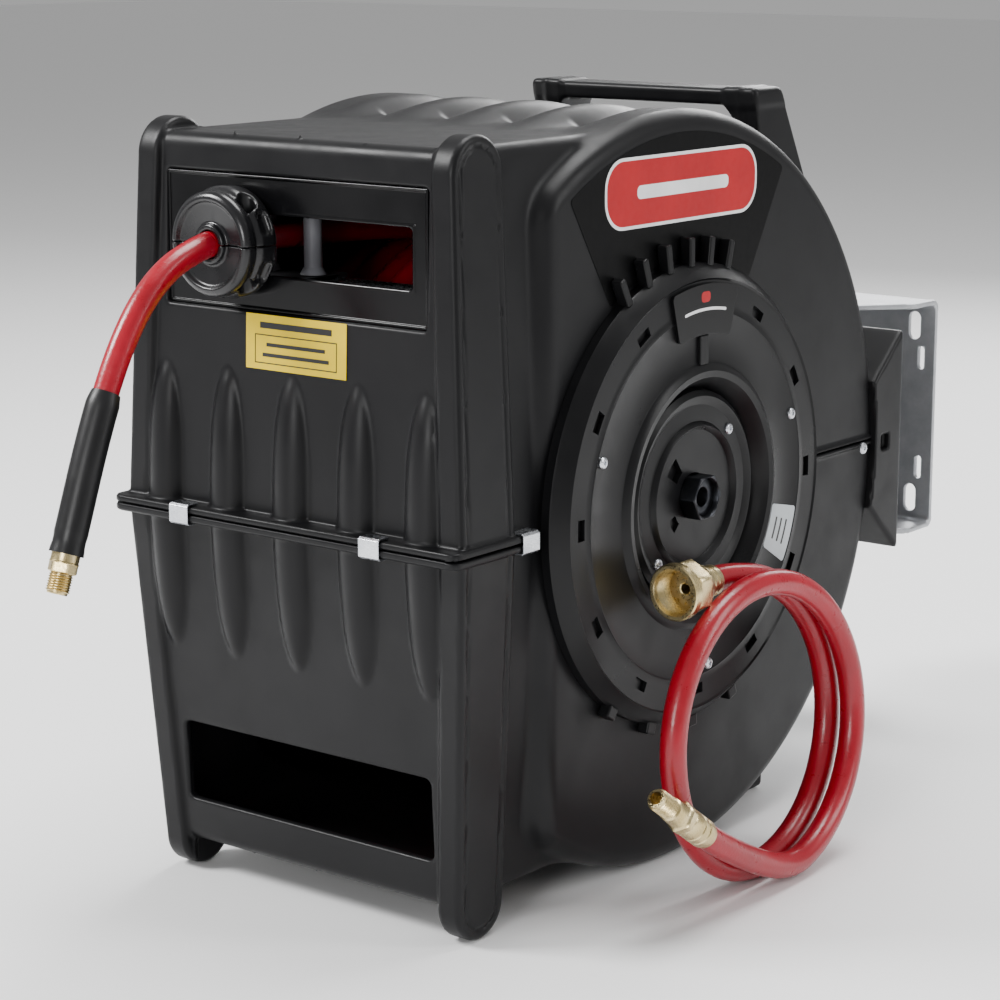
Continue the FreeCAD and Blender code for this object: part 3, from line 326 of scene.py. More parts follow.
def soft_max(a, b, k):
    """Intersection with an edge rounded by about k millimetres."""
    return -soft_min(-a, -b, k)


def box_distance(x, y, z, centre, half, rounding):
    """Distance to a box with rounded edges."""
    qx = np.abs(x - centre[0]) - (half[0] - rounding)
    qy = np.abs(y - centre[1]) - (half[1] - rounding)
    qz = np.abs(z - centre[2]) - (half[2] - rounding)
    outside = np.sqrt(np.maximum(qx, 0) ** 2 + np.maximum(qy, 0) ** 2 + np.maximum(qz, 0) ** 2)
    return outside + np.minimum(np.maximum(qx, np.maximum(qy, qz)), 0) - rounding


def slab_distance(flat, across, rounding):
    """A flat outline's distance and a distance across it, joined with rounded edges."""
    a, b = flat + rounding, across + rounding
    return np.sqrt(np.maximum(a, 0) ** 2 + np.maximum(b, 0) ** 2) + np.minimum(np.maximum(a, b), 0) - rounding


def capsule_distance(u, v, start, end, start_r, end_r):
    """Distance in a plane to a tapered capsule."""
    du, dv = end[0] - start[0], end[1] - start[1]
    along = np.clip(((u - start[0]) * du + (v - start[1]) * dv) / (du * du + dv * dv), 0, 1)
    gap = np.sqrt((u - start[0] - along * du) ** 2 + (v - start[1] - along * dv) ** 2)
    return gap - (start_r + (end_r - start_r) * along)


def axis_distance(y, z):
    """Distance from the drum's axis."""
    return np.sqrt((y - AXIS_Y) ** 2 + (z - AXIS_Z) ** 2)


def surface(name, distance, low, high, cell, keep=1.0, steps=4):
    """A mesh of the distance's zero surface, with its vertices and normals set on it exactly."""
    spans = [np.arange(a - 1.5 * cell, b + 2.5 * cell, cell) for a, b in zip(low, high)]
    value = distance(*np.meshgrid(*spans, indexing="ij", sparse=True)).astype(np.float32)
    value = np.broadcast_to(value, [len(span) for span in spans])
    inside = value < 0
    total = np.zeros([n - 1 for n in inside.shape], np.int8)
    corners = [(i, j, k) for i in (0, 1) for j in (0, 1) for k in (0, 1)]

    def corner(array, offset):
        i, j, k = offset
        nx, ny, nz = array.shape
        return array[i:nx - 1 + i, j:ny - 1 + j, k:nz - 1 + k]

    for offset in corners:
        total += corner(inside, offset)
    cells = np.argwhere((total > 0) & (total < 8))
    index = -np.ones(total.shape, np.int64)
    index[tuple(cells.T)] = np.arange(len(cells))
    at_corner = {offset: value[tuple((cells + offset).T)] for offset in corners}
    sums = np.zeros((len(cells), 3))
    crossings = np.zeros(len(cells))
    for first in corners:
        for direction in range(3):
            if first[direction] == 0:
                second = tuple(1 if d == direction else first[d] for d in range(3))
                f0, f1 = at_corner[first], at_corner[second]
                crossed = (f0 < 0) != (f1 < 0)
                share = np.where(crossed, f0 / np.where(crossed, f0 - f1, 1), 0)
                point = np.tile(np.array(first, float), (len(cells), 1))
                point[:, direction] = share
                sums += point * crossed[:, None]
                crossings += crossed
    points = (cells + sums / crossings[:, None]) * cell + np.array([span[0] for span in spans])

    faces = []
    for direction in range(3):
        near = [slice(None)] * 3
        far = [slice(None)] * 3
        near[direction], far[direction] = slice(0, -1), slice(1, None)
        changed = inside[tuple(near)] != inside[tuple(far)]
        edges = np.argwhere(changed)
        u, v = (direction + 1) % 3, (direction + 2) % 3
        edges = edges[(edges[:, u] > 0) & (edges[:, v] > 0)]
        edges = edges[(edges[:, u] < total.shape[u]) & (edges[:, v] < total.shape[v])]
        ring = []
        for back_u, back_v in ((1, 1), (0, 1), (0, 0), (1, 0)):
            around = edges.copy()
            around[:, u] -= back_u
            around[:, v] -= back_v
            ring.append(index[tuple(around.T)])
        quad = np.stack(ring, 1)
        outward = inside[tuple(edges.T)]
        quad[~outward] = quad[~outward][:, ::-1]
        faces.append(quad)
    faces = np.concatenate(faces)

    def gradient(where):
        step = 0.05
        parts = []
        for direction in range(3):
            shift = np.zeros(3)
            shift[direction] = step
            parts.append((distance(*(where + shift).T) - distance(*(where - shift).T)) / (2 * step))
        return np.stack(parts, 1)

    def settled(where):
        for _ in range(steps):
            slope = gradient(where)
            pull = distance(*where.T)[:, None] * slope / np.maximum((slope ** 2).sum(1), 0.05)[:, None]
            length = np.linalg.norm(pull, axis=1)[:, None]
            where = where - pull * np.minimum(1, 0.6 * cell / np.maximum(length, 1e-9))
        return where

    points = settled(points)
    if keep < 1:
        rough = mesh_object(name + "_rough", points, faces)
        thin = rough.modifiers.new("thin", "DECIMATE")
        thin.ratio = keep
        mesh = evaluated_mesh(rough)
        bpy.data.objects.remove(rough)
        points = np.array([vertex.co for vertex in mesh.vertices]) / MM
        faces = [tuple(polygon.vertices) for polygon in mesh.polygons]
        bpy.data.meshes.remove(mesh)
        points = settled(points)
    slope = gradient(points)
    slope /= np.maximum(np.linalg.norm(slope, axis=1), 1e-9)[:, None]
    return mesh_object(name, points, faces, normals=slope)


# --- Turned and swept shapes ---


def side_axes(direction):
    """Two unit vectors square to a direction."""
    way = Vector(direction).normalized()
    across = way.cross(Vector((0, 0, 1)))
    if across.length < 1e-3:
        across = way.cross(Vector((0, 1, 0)))
    across.normalize()
    return way, across, way.cross(across)


def polygon_radius(angle, sides, flat, corner):
    """Radius at an angle of a regular polygon with its corners turned down to a circle."""
    sector = 2 * math.pi / sides
    within = (angle + sector / 2) % sector - sector / 2
    return np.minimum(flat / np.cos(within), corner)


def skinned(name, points, around, closed_ends=True):
    """A mesh over rings of so many points each, one ring after another."""
    last = len(points) - around
    faces = []
    for ring in range(0, last, around):
        for i in range(around):
            j = (i + 1) % around
            faces.append((ring + i, ring + j, ring + around + j, ring + around + i))
    if closed_ends:
        faces.append(tuple(range(around))[::-1])
        faces.append(tuple(range(last, last + around)))
    return mesh_object(name, points, faces)


def lathe(name, origin, direction, profile, around=64, closed_ends=True):
    """A turned piece.

    A profile entry is (distance along, radius), or (distance along, flat, sides, corner) for a polygon.
    """
    way, across, up = (np.array(axis) for axis in side_axes(direction))
    angles = np.arange(around) * 2 * math.pi / around
    rings = []
    for along, radius, *polygon in profile:
        if polygon:
            radius = polygon_radius(angles, polygon[0], radius, polygon[1])
        ring = np.array(origin) + way * along
        ring = ring + np.outer(radius * np.cos(angles), across) + np.outer(radius * np.sin(angles), up)
        rings.append(ring)
    return sharpen(skinned(name, np.concatenate(rings), around, closed_ends))


def thread(start, end, radius, pitch, depth):
    """Profile entries for a threaded stretch: ridges with rounded crests."""
    count = max(1, int((end - start) / pitch))
    step = (end - start) / count
    entries = [(start, radius - depth)]
    for turn in range(count):
        base = start + turn * step
        for share, height in ((0.25, radius), (0.5, radius), (0.8, radius - depth)):
            entries.append((base + share * step, height))
    return entries + [(end, radius - depth)]


def joined(name, pieces):
    """One piece from several meshes."""
    bpy.ops.object.select_all(action="DESELECT")
    for piece in pieces:
        piece.select_set(True)
    bpy.context.view_layer.objects.active = pieces[0]
    bpy.ops.object.join()
    pieces[0].name = name
    pieces[0].data.name = name
    return pieces[0]


def plate(name, outline, thickness, to_frame, rounding=0.4):
    """A flat piece from a closed outline in a plane; to_frame maps (u, v, depth) to the row frame."""
    count = len(outline)
    points = [to_frame(u, v, depth) for depth in (0.0, thickness) for u, v in outline]
    faces = [tuple(range(count))[::-1], tuple(range(count, 2 * count))]
    for i in range(count):
        j = (i + 1) % count
        faces.append((i, j, count + j, count + i))
    obj = mesh_object(name, points, faces, smooth=False)
    mesh_fix_normals(obj)
    return bevel(obj, rounding, 2, 40)


def mesh_fix_normals(obj):
    """Turns every face outwards."""
    work = bmesh.new()
    work.from_mesh(obj.data)
    bmesh.ops.recalc_face_normals(work, faces=work.faces)
    work.to_mesh(obj.data)
    work.free()


def nurbs(name, route, radius):
    """A hose along a smooth curve whose control points are the route, in millimetres."""
    curve = bpy.data.curves.new(name, "CURVE")
    curve.dimensions = "3D"
    spline = curve.splines.new("NURBS")
    spline.points.add(len(route) - 1)
    for point, at in zip(spline.points, route):
        point.co = (*(c * MM for c in at), 1)
    spline.order_u = 3
    spline.use_endpoint_u = True
    spline.resolution_u = 10
    curve.bevel_depth = radius * MM
    curve.bevel_resolution = 8
    curve.use_fill_caps = True
    return placed(name, curve)


# --- Hoses ---

OUTLET_ROUTE = [
    (-300, 397), (-319.4, 392.2), (-337.2, 383.1), (-352.5, 370.2), (-367.3, 351.3),
    (-381.8, 325.1), (-395.9, 292.0), (-409.6, 254.4), (-416.0, 237.5),
]
SLEEVE_FROM, SLEEVE_TOP_Z, SLEEVE_R = 5, 325.0, 9.5
COIL_Y, COIL_Z = -58.0, 96.5
COIL_RY, COIL_RZ = 93.0, 88.0
COIL_X, COIL_PITCH, COIL_LEAN = 168.6, 19.0, 0.073
POINTS_PER_TURN = 14
MALE_IN = Vector((203.0, -148.0, 55.0))
MALE_WAY = (Vector((200.5, -194.0, 88.5)) - MALE_IN).normalized()
NUT_AT = (162.0, -123.0, 189.0)
BACK = (0, 1, 0)
THREAD = (6.7, 1.35, 0.75)  # radius, pitch, depth
PACK_R, PACK_HALF, PACK_PITCH = 155.0, 82.0, 16.4


def coil_point(turn):
    """The lead-in hose's coil; turns count clockwise from its top, seen from the right."""
    angle = 2 * math.pi * turn
    spread = 1 / 0.975
    y = COIL_Y + COIL_RY * spread * math.sin(angle)
    z = COIL_Z + COIL_RZ * spread * math.cos(angle)
    return (COIL_X + COIL_PITCH * turn - COIL_LEAN * (z - COIL_Z), y, z)


def lead_route():
    """Out of the coupling, one and a half turns of the coil, then straight to the male fitting."""
    start = [(162, -81.5, 189), (162.5, -66, 189.2)]
    first, last = 0.065, 1.50
    count = round((last - first) * POINTS_PER_TURN)
    turns = [coil_point(first + (last - first) * i / count) for i in range(count + 1)]
    back = tuple(MALE_IN - MALE_WAY * 22)
    return start + turns + [back, tuple(MALE_IN)]


def make_hoses():
    """Both free hoses with their sleeve and fittings."""
    outlet = nurbs("outlet_hose_free", [(HOSE_X, y, z) for y, z in OUTLET_ROUTE], HOSE_R)
    finish_piece(outlet, "carriage", "red_hose", ["outlet_hose"])
    sleeve = make_sleeve()
    end = outlet_end()

    lead = nurbs("lead_hose_free", lead_route(), LEAD_R)
    finish_piece(lead, "case", "red_hose", ["lead_hose_coil", "lead_hose_inlet", "lead_hose_outlet"])
    nut, tail, male = coupling_nut(), coupling_tail(), male_fitting()
    tuple(c * MM for c in lead_route()[0])


def make_sleeve():
    """The black bend restrictor: a tapered mouth, a long sleeve and a moulded collar at its far end."""
    route = [Vector((HOSE_X, y, z)) for y, z in OUTLET_ROUTE[SLEEVE_FROM - 1:]]
    guide = nurbs("sleeve_guide", route, 1)
    guide.data.bevel_depth = 0
    line = evaluated_mesh(guide)
    spots = [Vector(vertex.co) / MM for vertex in line.vertices]
    bpy.data.objects.remove(guide)
    bpy.data.meshes.remove(line)
    spots = [spot for spot in spots if spot.z < SLEEVE_TOP_Z]
    around = 40
    points = []
    sideways = Vector((1, 0, 0))
    count = len(spots)
    travelled = 0.0
    total = sum((b - a).length for a, b in zip(spots, spots[1:]))
    for i, spot in enumerate(spots):
        way = (spots[min(i + 1, count - 1)] - spots[max(i - 1, 0)]).normalized()
        up = way.cross(sideways)
        if i:
            travelled += (spot - spots[i - 1]).length
        radius = SLEEVE_R - 1.3 * max(0.0, 1 - travelled / 6.0)
        if total - travelled < 14:
            radius = SLEEVE_R + 0.35 * math.cos((total - travelled) * 2 * math.pi / 3.5)
        for j in range(around):
            angle = 2 * math.pi * j / around
            points.append(spot + sideways * (radius * math.cos(angle)) + up * (radius * math.sin(angle)))
    sleeve = skinned("bend_sleeve", points, around)
    mesh_fix_normals(sleeve)
    sharpen(sleeve, 40)
    return finish_piece(sleeve, "carriage", "restrictor_rubber", ["bend_restrictor"])


def fitting(name, at, direction, profile, around, body, node, closed_ends=True):
    """A turned brass piece; an open-ended profile comes back on itself."""
    piece = lathe(name, at, direction, profile, around, closed_ends)
    if not closed_ends:
        mesh_fix_normals(piece)
    return finish_piece(piece, body, "brass", [node])


def outlet_end():
    """Brass end: ferrule, hexagon and a threaded male tail with a bore."""
    start = Vector((HOSE_X, *OUTLET_ROUTE[-1]))
    way = (start - Vector((HOSE_X, *OUTLET_ROUTE[-2]))).normalized()
    profile = [
        (-6, 8.0), (4.2, 8.0), (4.8, 8.4), (5.2, 8.4), (5.4, 7.4, 6, 8.4), (10.2, 7.4, 6, 8.4), (10.8, 7.0),
        (11.2, 6.0), *thread(11.6, 21.6, *THREAD), (22.6, 5.6), (22.6, 3.6), (12.0, 3.4),
    ]
    return fitting("outlet_brass_end", start, way, profile, 60, "carriage", "outlet_fitting")


def coupling_nut():
    """Brass swivel nut: an open collar with ridges inside, and hexagon flats behind."""
    ridges = [(13.4 - i, 13.4 if i % 2 else 12.6) for i in range(12)]
    profile = [
        (14.2, 4.6), (14.2, 12.0), *ridges,
        (1.0, 13.8), (0.0, 14.4), (0.0, 16.4), (0.7, 17.3), (5.6, 17.4), (6.6, 16.8), (7.2, 15.6),
        (7.8, 15.2, 6, 16.6), (8.8, 15.2, 6, 17.4), (18.4, 15.2, 6, 17.4), (19.6, 15.0, 6, 16.2),
        (20.6, 14.2), (23.4, 13.6), (24.4, 12.8), (27.0, 12.4), (27.0, 8.6),
    ]
    return fitting("coupling_swivel_nut", NUT_AT, BACK, profile, 72, "coupling", "coupling_nut", False)


def coupling_tail():
    """Hose tail inside the nut: a bright washer face with a bore, and a crimped ferrule behind."""
    profile = [
        (22.0, 3.2), (13.0, 3.2), (12.6, 3.8), (12.6, 6.2), (13.6, 6.8), (13.6, 11.2), (21.5, 11.2),
        (21.5, 8.4), (27.4, 8.4), (27.6, 9.4), (29.5, 9.6), (30.2, 9.0), (31.4, 9.0), (32.0, 9.6), (34.0, 9.6),
        (34.7, 9.0), (35.9, 9.0), (36.6, 9.6), (40.4, 9.6), (41.4, 9.0), (41.4, 7.9),
    ]
    return fitting("coupling_hose_tail", NUT_AT, BACK, profile, 64, "case", "coupling_tail", False)


def male_fitting():
    """Brass male end: crimped ferrule with rings, a hexagon and a long threaded nose with a bore."""
    profile = [
        (-2, 8.0), (0, 8.4), (1.2, 8.9), (6.0, 8.9), (6.6, 8.4), (7.8, 8.4), (8.4, 8.9), (12.0, 8.9),
        (12.6, 8.4), (13.8, 8.4), (14.4, 8.9), (22.4, 8.9), (23.6, 8.2), (24.2, 8.7, 6, 9.6),
        (28.6, 8.7, 6, 9.6), (29.4, 8.0), (30.4, 7.4), (40.2, 7.4), (41.2, 6.4), *thread(41.6, 55.2, *THREAD),
        (57.0, 5.4), (57.0, 4.0), (44.0, 3.8),
    ]
    return fitting("lead_male_end", MALE_IN, MALE_WAY, profile, 60, "case", "lead_male_fitting")


def make_pack():
    """Hose wound on the drum in one visible layer, and the stretch that feeds the outlet."""
    per_turn, around = 72, 10
    lay_r = PACK_R - HOSE_R
    steps = int(2 * PACK_HALF / PACK_PITCH * per_turn)
    points = []
    for i in range(steps + 1):
        turn = i / per_turn
        angle = 2 * math.pi * turn + 1.1
        outward = Vector((0, math.cos(angle), math.sin(angle)))
        loose = 1.2 * math.sin(3 * angle + turn * 2.1)
        middle = Vector((-PACK_HALF + PACK_PITCH * turn, AXIS_Y, AXIS_Z))
        centre = middle + outward * (lay_r - 1.5 + loose)
        for j in range(around):
            lean = 2 * math.pi * j / around
            sideways = Vector((HOSE_R * math.sin(lean), 0, 0))
            points.append(centre + outward * (HOSE_R * math.cos(lean)) + sideways)
    wound = skinned("wound_hose", points, around)
    mesh_fix_normals(wound)
    finish_piece(wound, "drum", "red_hose", ["hose_pack"])

    feed = [(-299.9, 397), (-285, 397), (-225, 396.5), (-150, 394), (-85, 389), (-50, 381)]
    inner = nurbs("hose_through_stop", [(HOSE_X, y, z) for y, z in feed], HOSE_R)
    finish_piece(inner, "carriage", "red_hose", ["inner_hose"])


# --- Case ---

RIB_R, RIB_DEPTH, RIB_PITCH = 233.5, 13.0, 50.0
SIDE_X = 125.0
BOX_TOP_Z, BOX_LOW_Z = 457.0, 20.0
BOX_BACK_Y = -100.0
BOX_HALF, BOX_TOP_IN, BOX_LOW_IN = 121.5, 8.6, 11.5
PANEL_Y, TOP_LEAN, LOW_LEAN = -278.5, 7.0, 12.0
WALL = 6.0
LIP_HALF, LIP_SIDE, LIP_Y, LIP_REACH = 4.8, 133.5, -254.0, 38.0
FLUTE_R, FLUTE_HALF = 14.5, 92.0
PILLAR_WIDE, PILLAR_Y, PILLAR_R = 17.0, -257.0, 25.0
PILLAR_UP, PILLAR_DOWN = 208.0, 213.0
WINDOW_Z = 396.0
BEZEL_Y, SLOT_Z = -270.0, 395.5
PARTING_GAP, PARTING_EDGE = 0.35, 0.7
GRIP_Y, GRIP_TOP_Z = 84, 471
STOP_R, STOP_SCREW_X, STOP_SCREW_Y = 32.6, 19, -287


def rise_and_fall(z):
    """How far up the upper half a height is, and how far down the lower half, from 0 to 1."""
    up = np.clip((z - PARTING_Z) / (BOX_TOP_Z - PARTING_Z), 0, 1)
    down = np.clip((PARTING_Z - z) / (PARTING_Z - BOX_LOW_Z), 0, 1)
    return up, down


def case_base(x, y, z, rib_depth=RIB_DEPTH, crest=RIB_R):
    """The round housing with its ribs, and the front box."""
    up, down = rise_and_fall(z)
    phase = math.pi * np.minimum(np.abs(x), 2 * RIB_PITCH) / RIB_PITCH
    ribbed = crest - rib_depth * (1.02 - np.sqrt(np.cos(phase) ** 2 + 0.04))
    housing = slab_distance(axis_distance(y, z) - ribbed, np.abs(x) - SIDE_X, 11)
    housing = soft_max(housing, -(y + 200), 14)
    half = BOX_HALF - BOX_TOP_IN * up - BOX_LOW_IN * down
    front = PANEL_Y + TOP_LEAN * up + LOW_LEAN * down - y
    box = soft_max(np.abs(x) - half, front, 5)
    box = soft_max(box, np.maximum(z - BOX_TOP_Z, BOX_LOW_Z - z), 9)
    box = soft_max(box, y - BOX_BACK_Y, 3)
    return soft_min(housing, box, 7)


def case_outside(x, y, z):
    """Everything that stands on the base: pillars, flutes, the parting lip and the rear foot."""
    base = case_base(x, y, z)
    up, down = rise_and_fall(z)
    front = PANEL_Y + TOP_LEAN * up + LOW_LEAN * down
    for flute in range(-2, 3):
        across = np.sqrt((x - flute * RIB_PITCH) ** 2 + (y - front - 6) ** 2)
        reach = np.clip(np.abs(z - PARTING_Z) / FLUTE_HALF, 0, 1)
        thick = FLUTE_R * np.sqrt(np.maximum(1 - reach ** 3.4, 0.0004))
        base = soft_min(base, across - thick, 2.0)

    up = np.clip((z - PARTING_Z) / PILLAR_UP, 0, 1)
    down = np.clip((PARTING_Z - z) / PILLAR_DOWN, 0, 1)
    middle = 130.0 - PILLAR_WIDE / 2 - 9.8 * up - 12.5 * down
    face = np.minimum(
        capsule_distance(y, z, (PILLAR_Y, PARTING_Z), (-254, PARTING_Z + PILLAR_UP), PILLAR_R, 22.5),
        capsule_distance(y, z, (PILLAR_Y, PARTING_Z), (-249, PARTING_Z - PILLAR_DOWN), PILLAR_R, 21),
    )
    across = np.abs(x) - middle
    pillar = slab_distance(face, np.abs(across) - PILLAR_WIDE / 2, 3.4)
    groove = 0.9 * np.exp(-((face + 6.5) / 1.1) ** 2) * (across > 0)
    base = soft_min(base, pillar + groove, 2.5)

    plan = box_distance(x, y, 0 * z, (0, LIP_Y, 0), (LIP_SIDE, LIP_REACH, 30), 7)
    lip = slab_distance(plan, np.abs(z - PARTING_Z) - LIP_HALF, 1.5)
    base = soft_min(base, lip, 2)
    bead = slab_distance(case_base(x, y, z) - 1.8, np.abs(z - PARTING_Z) - 3.0, 1.2)
    base = soft_min(base, np.maximum(bead, 20 - y), 2)
    skid = box_distance(x, y, z, (0, 81, 37.5), (90, 13, 37.5), 4)
    return soft_min(base, skid, 6)


def case_shell(x, y, z):
    """The outside with the hollow, the window and the lower opening taken out."""
    outside = case_outside(x, y, z)
    window = box_distance(x, y, z, (0, -290, WINDOW_Z), (99.2, 24, 39.2), 2.5)
    outside = soft_max(outside, -window, 2.5)
    vent = box_distance(x, y, z, (0, -285, 73.25), (97, 40, 24.75), 4)
    outside = soft_max(outside, -vent, 2.5)
    room = case_base(x, y, z, 0, RIB_R - RIB_DEPTH + 2) + WALL
    return soft_max(outside, -room, 1)


def upper_distance(x, y, z):
    return soft_max(case_shell(x, y, z), PARTING_Z + PARTING_GAP - z, PARTING_EDGE)


def lower_distance(x, y, z):
    return soft_max(case_shell(x, y, z), z - PARTING_Z + PARTING_GAP, PARTING_EDGE)


def bezel_distance(x, y, z):
    """Window frame: a sunk face inside an outer rim, with a raised rim round the slot."""
    body = box_distance(x, y, z, (0, BEZEL_Y, WINDOW_Z), (99, 2, 39), 0.6)
    face = box_distance(x, y, z, (0, -272.6, WINDOW_Z), (97.2, 1.6, 37.2), 0.6)
    ring = box_distance(x, y, z, (0, -270.1, SLOT_Z), (89.2, 1.3, 19.7), 0.9)
    body = np.minimum(soft_max(body, -face, 0.6), ring)
    slot = box_distance(x, y, z, (0, BEZEL_Y, SLOT_Z), (87, 20, 17.5), 3)
    return soft_max(body, -slot, 0.8)


def handle_distance(x, y, z):
    """A grip between two fins that widen and slope back to the housing, hollow underneath."""
    lean = 0.5
    slope = (y - 99) * math.cos(lean) + (z - GRIP_TOP_Z) * math.sin(lean) * 0.97
    front = (68 - y) + (GRIP_TOP_Z - z) * 0.15
    outline = soft_max(soft_max(slope, front, 3), z - GRIP_TOP_Z, 4)
    fin = slab_distance(outline, np.abs(np.abs(x) - 83) - 7, 2.5)
    grip = slab_distance(soft_max(outline, 460 - z, 3), np.abs(x) - 89, 3)
    hollow = box_distance(x, y, z, (0, GRIP_Y, 462), (74, 8, 6.5), 2)
    grip = soft_max(grip, -hollow, 1.5)
    web = slab_distance(soft_max(outline, 446 - z, 1), np.abs(np.abs(x) - 72) - 6, 2)
    web = soft_max(web, 458 - z - (np.abs(x) - 66) * 1.4, 2)
    whole = soft_min(soft_min(fin, grip, 4), web, 5)
    return soft_max(whole, RIB_R - 5 - axis_distance(y, z), 1)


def stop_distance(x, y, z):
    """The hose stop: a drum with a broad front rim, a sunk face, screw pockets and the hose's way through."""
    u, v = x - HOSE_X, z - HOSE_Z
    radial = np.sqrt(u ** 2 + v ** 2)
    front = slab_distance(radial - 30.5, np.abs(y + 294.5) - 5.5, 4.8)
    drum = slab_distance(radial - STOP_R, np.abs(y + 282.6) - 9.8, 7)
    body = soft_min(front, drum, 1.2)
    sunk = soft_max(radial - 24.5, y + 297.6 - (24.5 - radial) * 0.12, 2)
    body = soft_max(body, -sunk, 2)
    collar = slab_distance(radial - 11.5, np.abs(y + 296.4) - 3.2, 1.2)
    body = soft_min(body, collar, 2)
    for side in (-STOP_SCREW_X, STOP_SCREW_X):
        screw = np.sqrt((u - side) ** 2 + (y - STOP_SCREW_Y) ** 2)
        pocket = np.maximum(screw - 5.2, 13 - np.abs(v))
        body = soft_max(body, -pocket, 1.6)
    for angle in (0.42, -0.52):
        along = np.abs(u) * math.cos(angle) + v * math.sin(angle)
        across = v * math.cos(angle) - np.abs(u) * math.sin(angle)
        notch = box_distance(along, y, across, (33, -283, 0), (4.5, 4.4, 7), 3)
        body = soft_max(body, -notch, 1.5)
    return soft_max(body, 8.1 - radial, 1.2)


def make_stop():
    """The stop's two halves, split along the hose."""
    reach = 33
    for name, node, side in (("stop_top", "hose_stop_upper", 1), ("stop_base", "hose_stop_lower", -1)):
        def half(x, y, z, side=side):
            return soft_max(stop_distance(x, y, z), 0.3 - side * (z - HOSE_Z), 0.5)

        low = (HOSE_X - reach, -301, HOSE_Z - (reach if side < 0 else 0))
        high = (HOSE_X + reach, -272, HOSE_Z + (reach if side > 0 else 0))
        piece = surface(name, half, low, high, 1.1, keep=0.5)
        finish_piece(piece, "carriage", "stop_plastic", [node])


# --- Side covers ---

SLOT_ANGLES = range(0, 360, 30)
SLOT_R, SLOT_HALF_R, SLOT_HALF_ANGLE = 121.5, 3.2, 3.0
COVER_FLAT, HUB_FLAT, PLAQUE_FACE = 14.0, 9.0, 16.35  # heights above the side plane


def side_point(side, height, radius, turn):
    """A point on a side of the case, by its height above the side plane and its place round the drum's axis."""
    return (side * (SIDE_X + height), AXIS_Y + radius * math.cos(turn), AXIS_Z + radius * math.sin(turn))


def polar_piece(name, side, radii, heights, angles, recesses):
    """A round relief on a side of the case: heights above the side plane by radius, less any recesses.

    A recess is (lowest radius, highest radius, lowest angle, highest angle, depth), angles in degrees.
    """
    sharp = 0.12
    fine, edges = set(radii), set(angles)
    for low_r, high_r, low_a, high_a, _ in recesses:
        fine |= {low_r, low_r + sharp, high_r - sharp, high_r}
        edges |= {low_a % 360, (low_a + sharp) % 360, (high_a - sharp) % 360, high_a % 360}
    rows = sorted(fine)
    columns = sorted(edges)
    grid = np.interp(rows, radii, heights)[:, None] * np.ones(len(columns))
    for low_r, high_r, low_a, high_a, depth in recesses:
        in_r = (np.array(rows) > low_r + sharp / 2) & (np.array(rows) < high_r - sharp / 2)
        turned = (np.array(columns) - low_a) % 360
        in_a = (turned > sharp / 2) & (turned < (high_a - low_a) - sharp / 2)
        grid -= depth * np.outer(in_r, in_a)
    points, faces = [], []
    count = len(columns)
    for row, radius in enumerate(rows):
        for column, angle in enumerate(columns):
            points.append(side_point(side, grid[row, column], radius, math.radians(angle)))
    for row in range(len(rows) - 1):
        for column in range(count):
            following = (column + 1) % count
            quad = (row * count + column, row * count + following,
                    (row + 1) * count + following, (row + 1) * count + column)
            faces.append(quad[::-1] if side > 0 else quad)
    return mesh_object(name, points, faces)


def small_box(name, side, radius, angle, size, height, rounding=0.6):
    """A rounded block on a side of the case: size is (radial, around, thick), height its outer face."""
    turn = math.radians(angle)
    outward = Vector((0, math.cos(turn), math.sin(turn)))
    across = Vector((0, -math.sin(turn), math.cos(turn)))
    centre = Vector((side * (SIDE_X + height - size[2] / 2), AXIS_Y, AXIS_Z)) + outward * radius
    ends = (-0.5, 0.5)
    corners = [
        centre + outward * (a * size[0]) + across * (b * size[1]) + Vector((c * size[2], 0, 0))
        for a in ends for b in ends for c in ends
    ]
    faces = [(0, 1, 3, 2), (4, 6, 7, 5), (0, 4, 5, 1), (2, 3, 7, 6), (0, 2, 6, 4), (1, 5, 7, 3)]
    block = mesh_object(name, corners, faces, smooth=False)
    mesh_fix_normals(block)
    bevel(block, rounding, 2)
    return apply_modifiers(block)


def apply_modifiers(obj):
    """The same object with its modifiers worked into its mesh."""
    mesh = evaluated_mesh(obj)
    obj.modifiers.clear()
    obj.data = mesh
    return obj


